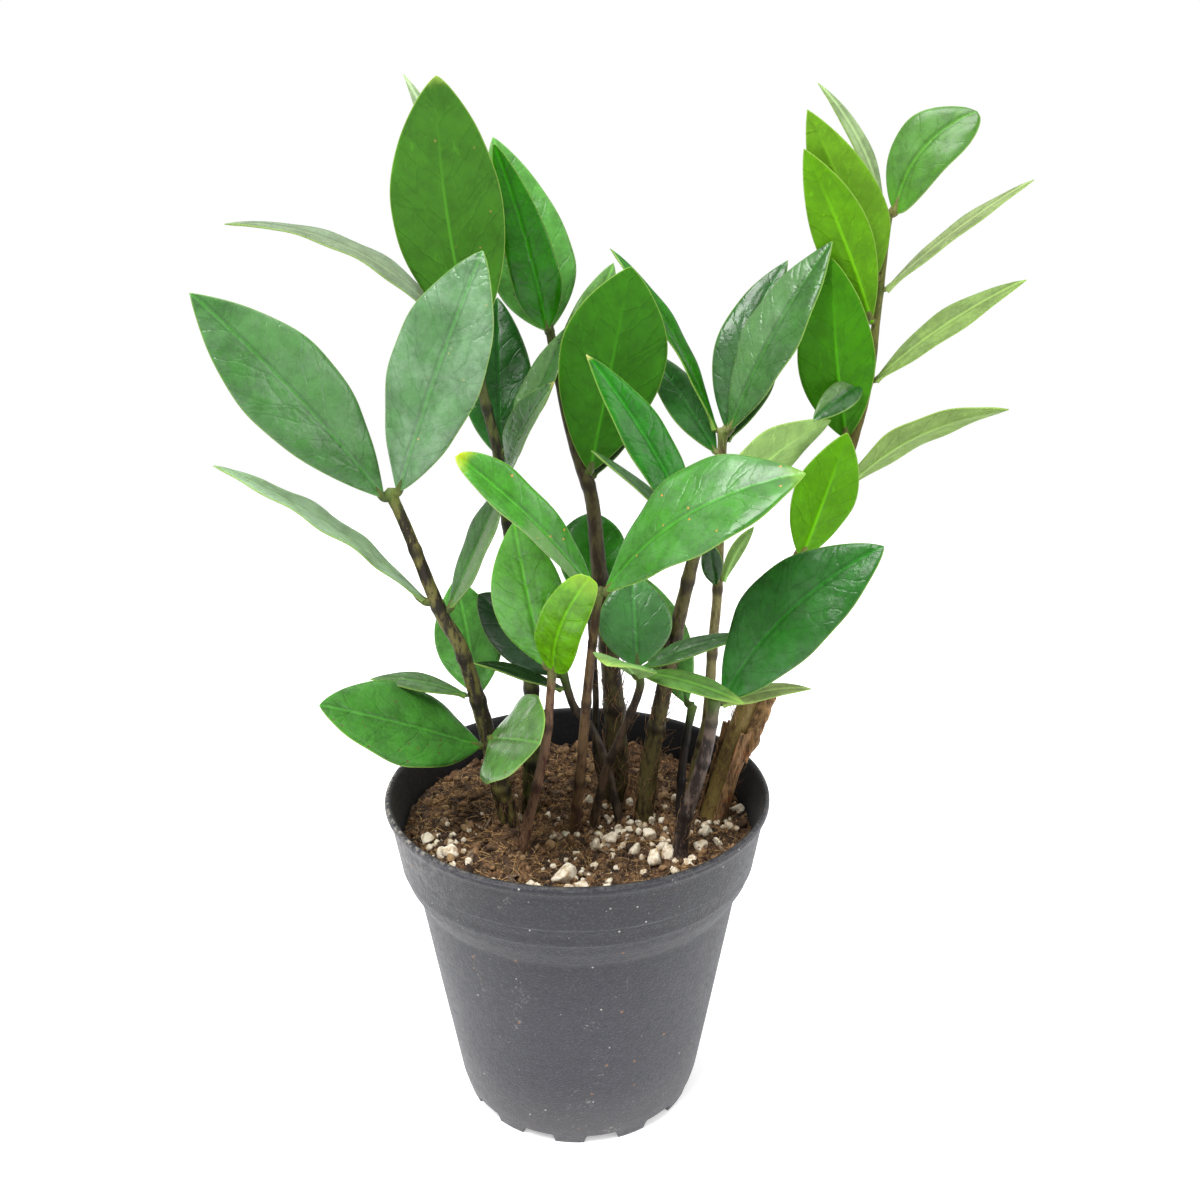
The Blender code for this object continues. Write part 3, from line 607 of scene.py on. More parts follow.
def closed_sheet(top, bottom):
    """Points and faces of the solid between two matching grids of points."""
    rows, columns = top.shape[:2]
    points = np.vstack([top.reshape(-1, 3), bottom.reshape(-1, 3)])
    start = rows * columns
    upper = grid_faces(rows, columns)
    lower = [face[::-1] for face in grid_faces(rows, columns, start=start)]
    around = (
        [(0, c) for c in range(columns)]
        + [(r, columns - 1) for r in range(1, rows)]
        + [(rows - 1, c) for c in range(columns - 2, -1, -1)]
        + [(r, 0) for r in range(rows - 2, 0, -1)]
    )
    edge = [r * columns + c for r, c in around]
    rim = [
        [b, a, a + start, b + start] for a, b in zip(edge, edge[1:] + edge[:1])
    ]
    return points, upper, lower, rim


def grid_normals(grid):
    """Unit normals of a grid of points, on the side where rows x columns points."""
    down = np.gradient(grid, axis=0)
    over = np.gradient(grid, axis=1)
    normals = np.cross(over, down)
    return normals / np.maximum(np.linalg.norm(normals, axis=2), 1e-9)[:, :, None]


# ---------------------------------------------------------------- materials
def srgb(colour):
    """Linear colour with alpha of an sRGB colour from 0 to 255."""
    linear = []
    for value in colour:
        share = value / 255
        linear.append(share / 12.92 if share <= 0.04045 else ((share + 0.055) / 1.055) ** 2.4)
    return (*linear, 1.0)


def shade(colour, factor):
    """The sRGB colour made lighter or darker."""
    return tuple(min(255, value * factor) for value in colour)


class Paint:
    """A Principled material and short calls for the nodes that drive it."""

    def __init__(self, name):
        self.material = bpy.data.materials.new(name)
        self.material.use_nodes = True
        self.tree = self.material.node_tree
        self.shader = self.tree.nodes["Principled BSDF"]
        self.where = self.colour = self.normal = None

    def node(self, kind, inputs, **options):
        """New node with its inputs and options set."""
        made = self.tree.nodes.new(f"ShaderNode{kind}")
        for key, value in options.items():
            setattr(made, key, value)
        for key, value in inputs.items():
            self.feed(made.inputs[key], value)
        return made

    def feed(self, socket, value):
        """Link an output to the socket, or set its value."""
        if isinstance(value, bpy.types.NodeSocket):
            self.tree.links.new(value, socket)
        else:
            socket.default_value = value

    def vector(self, operation, a, b, result="Vector"):
        """Result of one step of vector arithmetic."""
        return self.node("VectorMath", {0: a, 1: b}, operation=operation).outputs[result]

    def place(self):
        """The object's own coordinates in mm."""
        if self.where is None:
            source = self.node("TexCoord", {}).outputs["Object"]
            scaled = self.node("VectorMath", {0: source, "Scale": 1 / MM}, operation="SCALE")
            self.where = scaled.outputs["Vector"]
        return self.where

    def noise(self, size, detail=3.0, rough=0.55, stretch=None, distortion=0.0):
        """Noise from 0 to 1 in lumps about size mm wide, longer where stretch is small."""
        where = self.vector("MULTIPLY", self.place(), stretch) if stretch else self.place()
        return self.node("TexNoise", {
            "Vector": where, "Scale": 1 / size, "Detail": detail,
            "Roughness": rough, "Distortion": distortion,
        }).outputs["Fac"]

    def specks(self, size, share, outer, inner):
        """One on small round dots and nought between them: dots of this outer and
        inner radius, in shares of size, in this share of cells about size mm wide."""
        where = {"Vector": self.place(), "Scale": 1 / size}
        dot = self.between(self.node("TexVoronoi", where).outputs["Distance"], outer, inner)
        number = self.node("TexVoronoi", where).outputs["Color"]
        number = self.node("SeparateColor", {0: number}).outputs[0]
        return self.times(dot, self.math("LESS_THAN", number, share))

    def math(self, operation, a, b=0.0):
        """Result of one arithmetic step."""
        return self.node("Math", {0: a, 1: b}, operation=operation).outputs[0]

    def times(self, first, *others):
        """Product of all the values."""
        for value in others:
            first = self.math("MULTIPLY", first, value)
        return first

    def between(self, value, low, high, to_low=0.0, to_high=1.0):
        """The value mapped smoothly from low..high to to_low..to_high."""
        return self.node("MapRange", {
            "Value": value, "From Min": low, "From Max": high,
            "To Min": to_low, "To Max": to_high,
        }, interpolation_type="SMOOTHSTEP").outputs["Result"]

    def mix(self, share, a, b):
        """Colour a turning into colour b as the share goes from 0 to 1."""
        return self.node("Mix", {0: share, 6: a, 7: b}, data_type="RGBA").outputs[2]

    def base(self, share, a, b):
        """Start from sRGB colour a, turning into b as the share goes from 0 to 1."""
        self.colour = self.mix(share, srgb(a), srgb(b))

    def coat(self, share, colour):
        """Lay this share of an sRGB colour over what is there."""
        self.colour = self.mix(share, self.colour, srgb(colour))

    def value(self, name):
        """A number or vector kept on the vertices."""
        return self.node("Attribute", {}, attribute_name=name)

    def number(self, name):
        """A number kept on the vertices."""
        return self.value(name).outputs["Fac"]

    def emboss(self, height, depth):
        """Raise the surface by height times depth in mm, on top of what is there."""
        inputs = {"Strength": 1.0, "Distance": depth * MM, "Height": height}
        if self.normal is not None:
            inputs["Normal"] = self.normal
        self.normal = self.node("Bump", inputs).outputs["Normal"]

    def finish(self, rough, **settings):
        """Drive the shader and return the material."""
        self.feed(self.shader.inputs["Base Color"], self.colour)
        self.feed(self.shader.inputs["Roughness"], rough)
        if self.normal is not None:
            self.feed(self.shader.inputs["Normal"], self.normal)
        for label, value in settings.items():
            self.feed(self.shader.inputs[label.replace("_", " ")], value)
        return self.material


# ---------------------------------------------------------------- finishes
def add_pot_dirt_and_highlights(paint, height):
    """Rim dust on the left, chalk streaks, scratches, painted highlight lines along the collar's and lip's
    edges, smudges and specks.
    """
    left = paint.between(paint.node("SeparateXYZ", {0: paint.place()}).outputs["X"], -20, -50)
    lip = paint.between(height, RIM_HEIGHT - 0.9, RIM_HEIGHT)
    dust = paint.between(paint.noise(2.0, detail=6, rough=0.75), 0.44, 0.60)
    paint.coat(paint.times(lip, paint.math("ADD", 0.10, paint.times(left, 0.6)), dust), (176, 168, 152))
    paint.coat(paint.times(paint.between(height, 78, 86), left, dust, 0.35), (150, 146, 142))
    low = paint.between(height, 26, 2, 0.0, 0.10)
    chalk = paint.between(paint.noise(1.6, detail=6, rough=0.8), 0.56, 0.68, 0.0, 0.6)
    streak = paint.between(paint.noise(11, detail=2, stretch=(1, 1, 0.4)), 0.60, 0.68)
    paint.coat(paint.math("ADD", low, paint.times(chalk, streak)), (164, 160, 156))
    scratch = paint.noise(0.5, detail=2, stretch=(0.35, 0.35, 0.03))
    paint.coat(paint.between(scratch, 0.72, 0.82, 0.0, 0.16), (150, 150, 150))
    # Painted highlights: thin lighter lines along the collar's and lip's edges, broken by noise.
    highlight_break = paint.between(paint.noise(7.0, detail=5, rough=0.7), 0.35, 0.65, 0.15, 0.75)
    for line in POT_HIGHLIGHT_LINES:
        off_line = paint.math("ABSOLUTE", paint.math("SUBTRACT", height, line))
        paint.coat(paint.times(paint.between(off_line, 0.30, 0.10), highlight_break), (78, 78, 84))
    powder = paint.between(paint.noise(0.9, detail=5, rough=0.75), 0.53, 0.64, 0.0, 0.7)
    for spot, reach in POT_SMUDGES:
        away = paint.vector("DISTANCE", paint.place(), spot, "Value")
        paint.coat(paint.times(paint.between(away, reach, 0.25 * reach), powder), (150, 147, 140))
    for size, share, colour in POT_SPECKS:
        paint.coat(paint.specks(size, share, 0.15, 0.08), colour)


def pot_plastic():
    """Charcoal moulded plastic, finely pebbled and dirty, with painted shade that darkens it toward the
    top and makes its inside near black.
    """
    paint = Paint("pot_plastic")
    height = paint.node("SeparateXYZ", {0: paint.place()}).outputs["Z"]
    grain = paint.noise(0.6, detail=2, rough=0.6)
    paint.base(paint.noise(26, detail=4), (37, 37, 45), (44, 44, 53))
    # Painted shade: the plastic darker toward the top.
    paint.coat(paint.between(height, 40, 92, 0.0, 0.55), (18, 19, 24))
    paint.coat(paint.between(grain, 0.50, 0.78, 0.0, 0.5), (84, 84, 92))
    paint.coat(paint.between(grain, 0.46, 0.28, 0.0, 0.6), (22, 22, 27))
    add_pot_dirt_and_highlights(paint, height)
    # Painted shade: the inside, facing the pot's axis, painted near black.
    outward = paint.vector("MULTIPLY", paint.place(), (1, 1, 0))
    normal = paint.node("NewGeometry", {}).outputs["Normal"]
    facing = paint.vector("DOT_PRODUCT", outward, normal, "Value")
    paint.coat(paint.between(facing, -2.0, -12.0, 0.0, 0.92), (5, 5, 9))
    rough = paint.between(paint.noise(1.6, detail=3), 0.3, 0.8, 0.44, 0.58)
    paint.emboss(grain, 0.24)
    paint.emboss(paint.noise(9.0, detail=2), 0.2)
    return paint.finish(rough, IOR=1.46, Specular_IOR_Level=0.4, Sheen_Weight=0.06)


def soil_paint(name, dark, light, fine):
    """Crumbly peat: painted shade in its hollows, lighter dry crumbs and short fibres,
    each loose crumb lighter or darker by its own amount."""
    paint = Paint(name)
    paint.base(paint.between(paint.noise(4.2, detail=5, rough=0.7), 0.36, 0.66), dark, light)
    speck = paint.between(paint.noise(fine, detail=3, rough=0.75), 0.54, 0.72, 0.0, 0.75)
    paint.coat(speck, shade(light, 1.35))
    fibre = paint.noise(0.5, detail=3, stretch=(1.0, 0.12, 1.0), distortion=1.2)
    paint.coat(paint.between(fibre, 0.60, 0.70, 0.0, 0.5), shade(light, 1.6))
    # Painted shade: dark patches standing for the shade in the soil's hollows.
    hollow_shade = paint.between(paint.noise(2.6, detail=5, rough=0.75), 0.46, 0.34, 0.0, 0.85)
    paint.coat(hollow_shade, shade(dark, 0.5))
    paint.coat(paint.number("dry"), (176, 144, 104))
    paint.coat(paint.number("damp"), (34, 20, 12))
    paint.emboss(paint.noise(fine, detail=4, rough=0.7), 0.55)
    paint.emboss(paint.noise(2.4, detail=3), 0.7)
    return paint.finish(0.93)


def perlite_paint():
    """Chalky off-white grains, pitted and stained by the peat."""
    paint = Paint("perlite")
    stain = paint.between(paint.noise(1.5, detail=4, rough=0.65), 0.42, 0.66)
    paint.base(stain, (232, 222, 202), (188, 162, 128))
    pit = paint.between(paint.noise(0.5, detail=3), 0.62, 0.72, 0.0, 0.8)
    paint.coat(pit, (128, 98, 70))
    paint.emboss(paint.noise(0.6, detail=3, rough=0.65), 0.35)
    return paint.finish(0.9)


def chip_paint():
    """Weathered bark and wood slivers, streaked along their length."""
    paint = Paint("bark")
    streak = paint.noise(0.7, detail=4, rough=0.7, stretch=(1.0, 0.3, 1.0))
    paint.base(paint.between(streak, 0.35, 0.65), (66, 46, 32), (150, 128, 104))
    paint.emboss(streak, 0.3)
    return paint.finish(0.85)


def fibre_paint(name, dark, light):
    """Dry plant fibre, darker and lighter by the strand."""
    paint = Paint(name)
    paint.base(paint.between(paint.noise(1.7, detail=2), 0.35, 0.65), dark, light)
    paint.emboss(paint.noise(0.25, detail=2), 0.05)
    return paint.finish(0.8)


def stem_paint(stem):
    """Mottled stem skin with dark rings at its nodes and fine streaks."""
    light, dark, share, _ = STEM_LOOKS[stem]
    paint = Paint(f"stem_{stem}_skin")
    mottle = paint.noise(1.0, detail=4, rough=0.6, stretch=(0.45, 0.45, 0.16))
    dim = paint.between(mottle, 0.62 - 0.35 * share, 0.80 - 0.35 * share)
    paint.base(dim, light, dark)
    fleck = paint.noise(0.6, detail=3, stretch=(1.0, 1.0, 0.3))
    paint.coat(paint.between(fleck, 0.60, 0.72, 0.0, 0.55), shade(light, 1.35))
    paint.coat(paint.between(fleck, 0.42, 0.30, 0.0, 0.6), shade(dark, 0.6))
    band = paint.times(paint.number("band"), paint.between(mottle, 0.25, 0.5, 0.6, 1.0), 0.8)
    paint.coat(band, shade(dark, 0.7))
    paint.coat(paint.times(paint.number("fresh"), 0.6), (88, 116, 46))
    rough = paint.between(fleck, 0.3, 0.7, 0.42, 0.62)
    paint.emboss(fleck, 0.12)
    paint.emboss(mottle, 0.2)
    return paint.finish(rough, Specular_IOR_Level=0.25)


def sheath_paint(name, dark, light):
    """Dry papery sheath with long fibres, stains and thin bright patches."""
    paint = Paint(name)
    fibre = paint.noise(0.7, detail=4, rough=0.7, stretch=(1.0, 1.0, 0.09))
    paint.base(paint.between(fibre, 0.34, 0.66), dark, light)
    patch = paint.between(paint.noise(5.0, detail=4), 0.5, 0.72, 0.0, 0.7)
    paint.coat(patch, shade(light, 1.2))
    rust = paint.between(paint.noise(3.2, detail=3, distortion=0.8), 0.54, 0.68, 0.0, 0.7)
    paint.coat(rust, (140, 78, 40))
    paint.emboss(fibre, 0.5)
    return paint.finish(0.78)


def vein_field(paint):
    """Where a point is on its blade: mm across it, mm from the midrib, mm from the
    margin, mm from the base, and its distance from an irregular net of side veins."""
    blade_spot = paint.value("blade").outputs["Vector"]
    across, along, half = paint.node("SeparateXYZ", {0: blade_spot}).outputs[:3]
    off_rib = paint.math("ABSOLUTE", across)
    to_edge = paint.math("SUBTRACT", half, off_rib)
    course = paint.math("SUBTRACT", along, paint.times(off_rib, VEIN_SLANT))
    course = paint.math("SUBTRACT", course, paint.times(off_rib, off_rib, VEIN_CURVE))
    drift = paint.times(paint.noise(5.0, detail=3), VEIN_WANDER)
    turns = paint.math("DIVIDE", paint.math("ADD", course, drift), VEIN_SPACING)
    row = paint.math("DIVIDE", off_rib, VEIN_REACH)
    half_number = paint.times(paint.math("GREATER_THAN", across, 0.0), 9.0)
    net = paint.node("CombineXYZ", {0: turns, 1: row, 2: half_number}).outputs[0]
    cells = paint.node(
        "TexVoronoi", {"Vector": net, "Scale": 1.0}, feature="DISTANCE_TO_EDGE",
    )
    return across, off_rib, to_edge, along, cells.outputs["Distance"]


def upper_leaf_paint(leaf, length):
    """Glossy upper face: mottled green, pale midrib with painted shade along its groove, sunken veins,
    thin light margin, and a painted whitish sheen that the veins break into patches."""
    tone, _, painted_sheen = LEAF_TONES[leaf]
    relief = RELIEFS.get(leaf, 0.5 + 1.2 * min(painted_sheen, 0.4))
    dull = 0.25 if relief <= SMOOTHEST else 0.0
    paint = Paint(f"leaf_{leaf}_upper")
    across, off_rib, to_edge, along, net = vein_field(paint)
    cloud = paint.between(paint.noise(6.0, detail=6, rough=0.7), 0.34, 0.66)
    paint.base(cloud, shade(tone, 0.88), shade(tone, 1.12))
    fine = paint.noise(0.9, detail=3, rough=0.6)
    paint.coat(paint.between(fine, 0.5, 0.75, 0.0, 0.3), shade(tone, 1.28))
    if painted_sheen:
        # Painted sheen: reflected light laid into the colour in patches that the veins break up.
        patch = paint.between(paint.noise(13.0, detail=5, rough=0.6), 0.36, 0.66, 0.35 * painted_sheen, painted_sheen)
        cell = paint.between(net, 0.0, 0.07, 0.84, 1.0)
        wisp = paint.between(paint.noise(2.2, detail=5, rough=0.7), 0.34, 0.62, 0.62, 1.0)
        paint.coat(paint.times(patch, cell, wisp), PAINTED_SHEEN_COLOUR)
    vein = 0.15 if painted_sheen > 0.15 else 0.24
    paint.coat(paint.between(net, 0.024, 0.0, 0.0, vein), shade(tone, 0.66))
    paint.coat(paint.between(off_rib, 0.42, 0.12, 0.0, 0.42), shade(tone, 1.45))
    # Painted shade along the sides of the midrib's groove.
    groove = paint.times(paint.between(off_rib, 1.3, 0.7), paint.between(off_rib, 0.4, 0.7), 0.3)
    paint.coat(groove, shade(tone, 0.66))
    paint.coat(paint.between(along, 6.0, 0.0, 0.0, 0.6), shade(tone, 1.3))
    paint.coat(paint.between(to_edge, 0.34, 0.08, 0.0, 0.5), (132, 168, 70))
    add_leaf_marks_and_sheen(paint, leaf, across, along, length)
    rough = paint.between(paint.noise(3.5, detail=4), 0.3, 0.75, 0.22 + dull, 0.36 + dull)
    paint.emboss(fine, 0.09 * relief)
    paint.emboss(paint.between(net, 0.0, 0.08), 0.11 * relief)
    paint.emboss(paint.noise(2.0, detail=3), 0.15 * relief)
    paint.emboss(paint.noise(5.5, detail=3), 0.55 * relief)
    gloss = 0.1 if dull else 0.4 if painted_sheen >= 0.12 else 0.25
    return paint.finish(rough, Specular_IOR_Level=gloss)


def lower_leaf_paint(leaf, length):
    """Softer underside: even green, pale raised midrib, faint veins, light margin."""
    _, tone, _ = LEAF_TONES[leaf]
    paint = Paint(f"leaf_{leaf}_lower")
    across, off_rib, to_edge, along, net = vein_field(paint)
    cloud = paint.between(paint.noise(6.0, detail=6, rough=0.7), 0.32, 0.68)
    paint.base(cloud, shade(tone, 0.92), shade(tone, 1.07))
    fine = paint.noise(0.7, detail=3)
    paint.coat(paint.between(fine, 0.5, 0.75, 0.0, 0.25), shade(tone, 1.2))
    paint.coat(paint.between(net, 0.028, 0.0, 0.0, 0.26), shade(tone, 0.76))
    scratch = paint.noise(0.6, detail=2, stretch=(0.5, 0.5, 0.07))
    paint.coat(paint.between(scratch, 0.64, 0.74, 0.0, 0.18), shade(tone, 1.6))
    toward_base = paint.between(along, length, 0.3 * length)
    rib = paint.times(paint.between(off_rib, 0.55, 0.18, 0.0, 0.6), toward_base)
    paint.coat(rib, shade(tone, 1.45))
    paint.coat(paint.between(to_edge, 0.34, 0.08, 0.0, 0.55), (150, 180, 84))
    add_leaf_marks_and_sheen(paint, leaf, across, along, length)
    rough = paint.between(paint.noise(4.0, detail=3), 0.3, 0.7, 0.44, 0.58)
    paint.emboss(fine, 0.06)
    paint.emboss(paint.between(net, 0.0, 0.08), -0.10)
    paint.emboss(paint.noise(4.5, detail=3), 0.2)
    return paint.finish(rough, Specular_IOR_Level=0.12)


def add_leaf_marks_and_sheen(paint, leaf, across, along, length):
    """Half painted pale as sheen, yellowed end and scattered specks where this leaflet has them."""
    # Painted sheen on one half of the leaflet.
    if leaf in SHEEN_HALVES:
        side, colour, low, high, strength = SHEEN_HALVES[leaf]
        half = paint.between(paint.times(across, side), 0.2, 1.4)
        after = paint.between(along, low * length, (low + 0.1) * length)
        before = paint.between(along, high * length, (high - 0.1) * length)
        grain = paint.between(paint.noise(1.6, detail=4, rough=0.7), 0.3, 0.6, 0.6 * strength, strength)
        paint.coat(paint.times(half, after, before, grain), colour)
    if leaf in END_MARKS:
        colour, reach, strength = END_MARKS[leaf]
        ragged = paint.math("ADD", along, paint.times(paint.noise(3.0, detail=3), 4.0))
        end = paint.between(ragged, length * (1 - reach) + 2.0, length + 2.0, 0.0, strength)
        paint.coat(end, colour)
    if leaf in SPECK_MARKS:
        colour, spacing, share = SPECK_MARKS[leaf]
        outer, inner = SPECK_RADII
        paint.coat(paint.specks(spacing, share, outer / spacing, inner / spacing), colour)


# ---------------------------------------------------------------- pot
def pot_profile():
    """The pot's profile with its long runs divided into short steps."""
    points = []
    for start, end in zip(POT_PROFILE, POT_PROFILE[1:]):
        start, end = np.array(start), np.array(end)
        count = max(1, int(math.ceil(np.linalg.norm(end - start) / POT_ROW_STEP)))
        points += [start + (end - start) * step / count for step in range(count)]
    return np.array(points + [np.array(POT_PROFILE[-1])])


def in_notch(angle):
    """True where the angle, in degrees, falls in one of the foot's notches."""
    pitch = 360 / NOTCH_COUNT
    off_centre = (angle - FIRST_NOTCH_ANGLE + pitch / 2) % pitch - pitch / 2
    return np.abs(off_centre) < math.degrees(math.asin(NOTCH_WIDTH / 2 / FOOT_RADIUS))


def mesh_of_rings(rings):
    """Closed mesh, in mm, of rings of points whose first and last are single points."""
    rows, columns = rings.shape[:2]
    mesh = bpy.data.meshes.new("rings")
    mesh.from_pydata(rings.reshape(-1, 3).tolist(), [], grid_faces(rows, columns, wrap=True))
    bm = bmesh.new()
    bm.from_mesh(mesh)
    bmesh.ops.remove_doubles(bm, verts=bm.verts, dist=0.0001)
    bmesh.ops.recalc_face_normals(bm, faces=bm.faces)
    bm.to_mesh(mesh)
    bm.free()
    return mesh


def mesh_arrays(mesh):
    """Points and faces of a mesh; the mesh is then dropped."""
    points = np.array([vertex.co for vertex in mesh.vertices])
    faces = [list(face.vertices) for face in mesh.polygons]
    bpy.data.meshes.remove(mesh)
    return points, faces


def cut_drains(pot):
    """Cut the round drain holes through the pot's floor."""
    bm = bmesh.new()
    for index in range(DRAIN_COUNT):
        angle = index * math.tau / DRAIN_COUNT
        spot = Matrix.Translation(Vector((
            DRAIN_RING_RADIUS * math.cos(angle), DRAIN_RING_RADIUS * math.sin(angle), DRAIN_PLUG[0],
        )) * MM)
        bmesh.ops.create_cone(
            bm, cap_ends=True, segments=DRAIN_SEGMENTS, radius1=DRAIN_RADIUS * MM,
            radius2=DRAIN_RADIUS * MM, depth=DRAIN_PLUG[1] * MM, matrix=spot,
        )
    mesh = bpy.data.meshes.new("drain_plugs")
    bm.to_mesh(mesh)
    bm.free()
    plugs = bpy.data.objects.new("drain_plugs", mesh)
    bpy.context.scene.collection.objects.link(plugs)
    cut = pot.modifiers.new("Drains", "BOOLEAN")
    cut.object = plugs
    cut.operation = "DIFFERENCE"
    cut.solver = "EXACT"
    bpy.context.view_layer.update()
    holed = bpy.data.meshes.new_from_object(
        pot.evaluated_get(bpy.context.evaluated_depsgraph_get()),
    )
    pot.modifiers.clear()
    pot.data = holed
    bpy.data.objects.remove(plugs)


def build_pot():
    """Thin moulded pot with a stepped collar, rolled lip, notched foot and drains."""
    profile = pot_profile()
    angles = np.arange(POT_COLUMNS) * 360 / POT_COLUMNS
    turn = np.radians(angles)
    radius = np.repeat(profile[:, :1], POT_COLUMNS, axis=1)
    height = np.repeat(profile[:, 1:], POT_COLUMNS, axis=1)
    foot = (radius > FOOT_RING_INNER) & in_notch(angles)[None, :]
    height = np.where(foot & (height < NOTCH_HEIGHT), NOTCH_HEIGHT, height)
    rings = np.stack([radius * np.cos(turn), radius * np.sin(turn), height], axis=-1)
    wobble = lumps(rings.reshape(-1, 3), POT_WOBBLE_WIDTH, SEEDS["pot"]).reshape(radius.shape) * POT_WOBBLE
    wobble *= np.clip(height / 20, 0, 1) * (radius > FOOT_RING_INNER)
    rings[..., 0] += wobble * np.cos(turn)
    rings[..., 1] += wobble * np.sin(turn)
    shape = Shape()
    shape.add(*mesh_arrays(mesh_of_rings(rings)))
    pot = shape.finish("pot_shell", [pot_plastic()], "pot_plastic", ["pot"])
    cut_drains(pot)


# ---------------------------------------------------------------- soil
def soil_height(spots):
    """Height in mm of the soil's rough surface at each (x, y)."""
    flat = np.column_stack([spots, np.zeros(len(spots))])
    height = SOIL_LEVEL + SOIL_RISE_AT_BACK * spots[:, 1] / SOIL_EDGE_RADIUS
    for layer, (size, rise) in enumerate(SOIL_LUMPS):
        height = height + lumps(flat, size, SEEDS["soil"] + layer) * rise
    return height


def build_soil():
    """The body of potting mix, with a lumpy top."""
    turn = np.arange(SOIL_COLUMNS) * math.tau / SOIL_COLUMNS
    circle = np.column_stack([np.cos(turn), np.sin(turn)])
    rings = [
        np.column_stack([circle * radius, np.full(SOIL_COLUMNS, height)])
        for radius, height in SOIL_SIDE
    ]
    for radius in np.arange(SOIL_EDGE_RADIUS, SOIL_RING_STEP, -SOIL_RING_STEP):
        spots = circle * radius
        rings.append(np.column_stack([spots, soil_height(spots)]))
    middle = soil_height(np.zeros((1, 2)))[0]
    rings.append(np.tile((0.0, 0.0, middle), (SOIL_COLUMNS, 1)))
    shape = Shape()
    shape.add(*mesh_arrays(mesh_of_rings(np.array(rings))))
    material = soil_paint("peat", *PEAT_COLOURS, 0.7)
    shape.finish("soil_body", [material], "potting_soil", ["soil"])


def ball(divisions):
    """Points and faces of a unit ball of triangles."""
    bm = bmesh.new()
    bmesh.ops.create_icosphere(bm, subdivisions=divisions, radius=1.0)
    points = np.array([vertex.co for vertex in bm.verts])
    faces = [[vertex.index for vertex in face.verts] for face in bm.faces]
    bm.free()
    return points, faces


def random_turn(rng):
    """A random rotation."""
    axis = unit(np.array([rng.gauss(0, 1) for _ in range(3)]))
    return np.array(Matrix.Rotation(rng.uniform(0, math.tau), 3, Vector(axis)))


def pebble(model, rng, radius, stretch, rough):
    """An irregular lump: a ball stretched, roughened and turned at random."""
    points, faces = model
    seed = rng.uniform(10, 90)
    swell = 1 + rough * (lumps(points, 0.9, seed) + 0.5 * lumps(points, 0.4, seed + 1))
    shaped = points * swell[:, None] * np.array(stretch) * radius
    return shaped @ random_turn(rng).T, faces


def chunk(model, rng, radius, stretch):
    """An angular lump: a pebble with flats broken off it."""
    points, faces = pebble(model, rng, radius, stretch, 0.35)
    for _ in range(GRAIN_FLATS):
        way = unit(np.array([rng.gauss(0, 1) for _ in range(3)]))
        beyond = np.maximum(points @ way - radius * rng.uniform(0.5, 0.85), 0)
        points = points - beyond[:, None] * way
    return points, faces


def random_spot(rng, reach):
    """A random (x, y) within reach of the pot's axis, spread evenly."""
    radius, angle = reach * math.sqrt(rng.random()), rng.uniform(0, math.tau)
    return radius * math.cos(angle), radius * math.sin(angle)


def settle(spots, sink):
    """The points where things at the spots rest, sunk a little into the soil."""
    spots = np.array(spots, float)
    return np.column_stack([spots, soil_height(spots) + np.array(sink)])


def build_crumbs():
    """Loose lumps of peat lying on the soil."""
    rng = random.Random(SEEDS["crumbs"])
    small, large = ball(1), ball(2)
    low, high = CRUMB_RADII
    radii = [low + (high - low) * rng.random() ** 4 for _ in range(CRUMB_COUNT)]
    spots = [random_spot(rng, SOIL_EDGE_RADIUS - radius) for radius in radii]
    centres = settle(spots, [radius * CRUMB_SINK for radius in radii])
    shape = Shape()
    for centre, radius in zip(centres, radii):
        stretch = [rng.uniform(0.7, 1.3) for _ in range(3)]
        model = large if radius > 0.9 else small
        points, faces = pebble(model, rng, radius, stretch, 0.7)
        mood = rng.uniform(-1, 1)
        shape.add(
            points + centre, faces, dry=np.full(len(points), 0.75 * max(0, mood) ** 2),
            damp=np.full(len(points), 0.8 * max(0, -mood)),
        )
    material = soil_paint("peat_crumbs", *CRUMB_COLOURS, 0.6)
    shape.finish("soil_crumbs", [material], "potting_soil")


def build_chips():
    """Flat slivers of bark and wood lying on the soil."""
    rng = random.Random(SEEDS["chips"])
    model = ball(2)
    low, high = CHIP_LENGTHS
    spots = CHIP_SPOTS + [
        random_spot(rng, SOIL_EDGE_RADIUS - high) for _ in range(CHIP_COUNT)
    ]
    shape = Shape()
    for centre in settle(spots, [CHIP_SINK] * len(spots)):
        half = rng.uniform(low, high) / 2
        points, faces = pebble(model, rng, 1.0, (half, half * 0.42, 0.4), 0.22)
        shape.add(points + centre, faces)
    shape.finish("bark_chips", [chip_paint()], "potting_soil")


def build_grains():
    """Pale mineral grains scattered over the soil."""
    rng = random.Random(SEEDS["grains"])
    fine, coarse = ball(3), ball(2)
    grains = list(GRAINS)
    low, high = SMALL_GRAIN_RADII
    while len(grains) < len(GRAINS) + SMALL_GRAIN_COUNT:
        x, y, spread = rng.choice(GRAIN_DRIFTS)
        x, y = rng.gauss(x, spread * 0.6), rng.gauss(y, spread * 0.6)
        if math.hypot(x, y) < SOIL_EDGE_RADIUS - high:
            grains.append((x, y, rng.uniform(low, high)))
    centres = settle([grain[:2] for grain in grains], [grain[2] * GRAIN_SINK for grain in grains])
    shape = Shape()
    for centre, (_, _, radius) in zip(centres, grains):
        stretch = [rng.uniform(0.8, 1.15) for _ in range(3)]
        points, faces = chunk(fine if radius > 1.2 else coarse, rng, radius * 1.15, stretch)
        shape.add(points + centre, faces)
    shape.finish("perlite_grains", [perlite_paint()], "potting_soil")


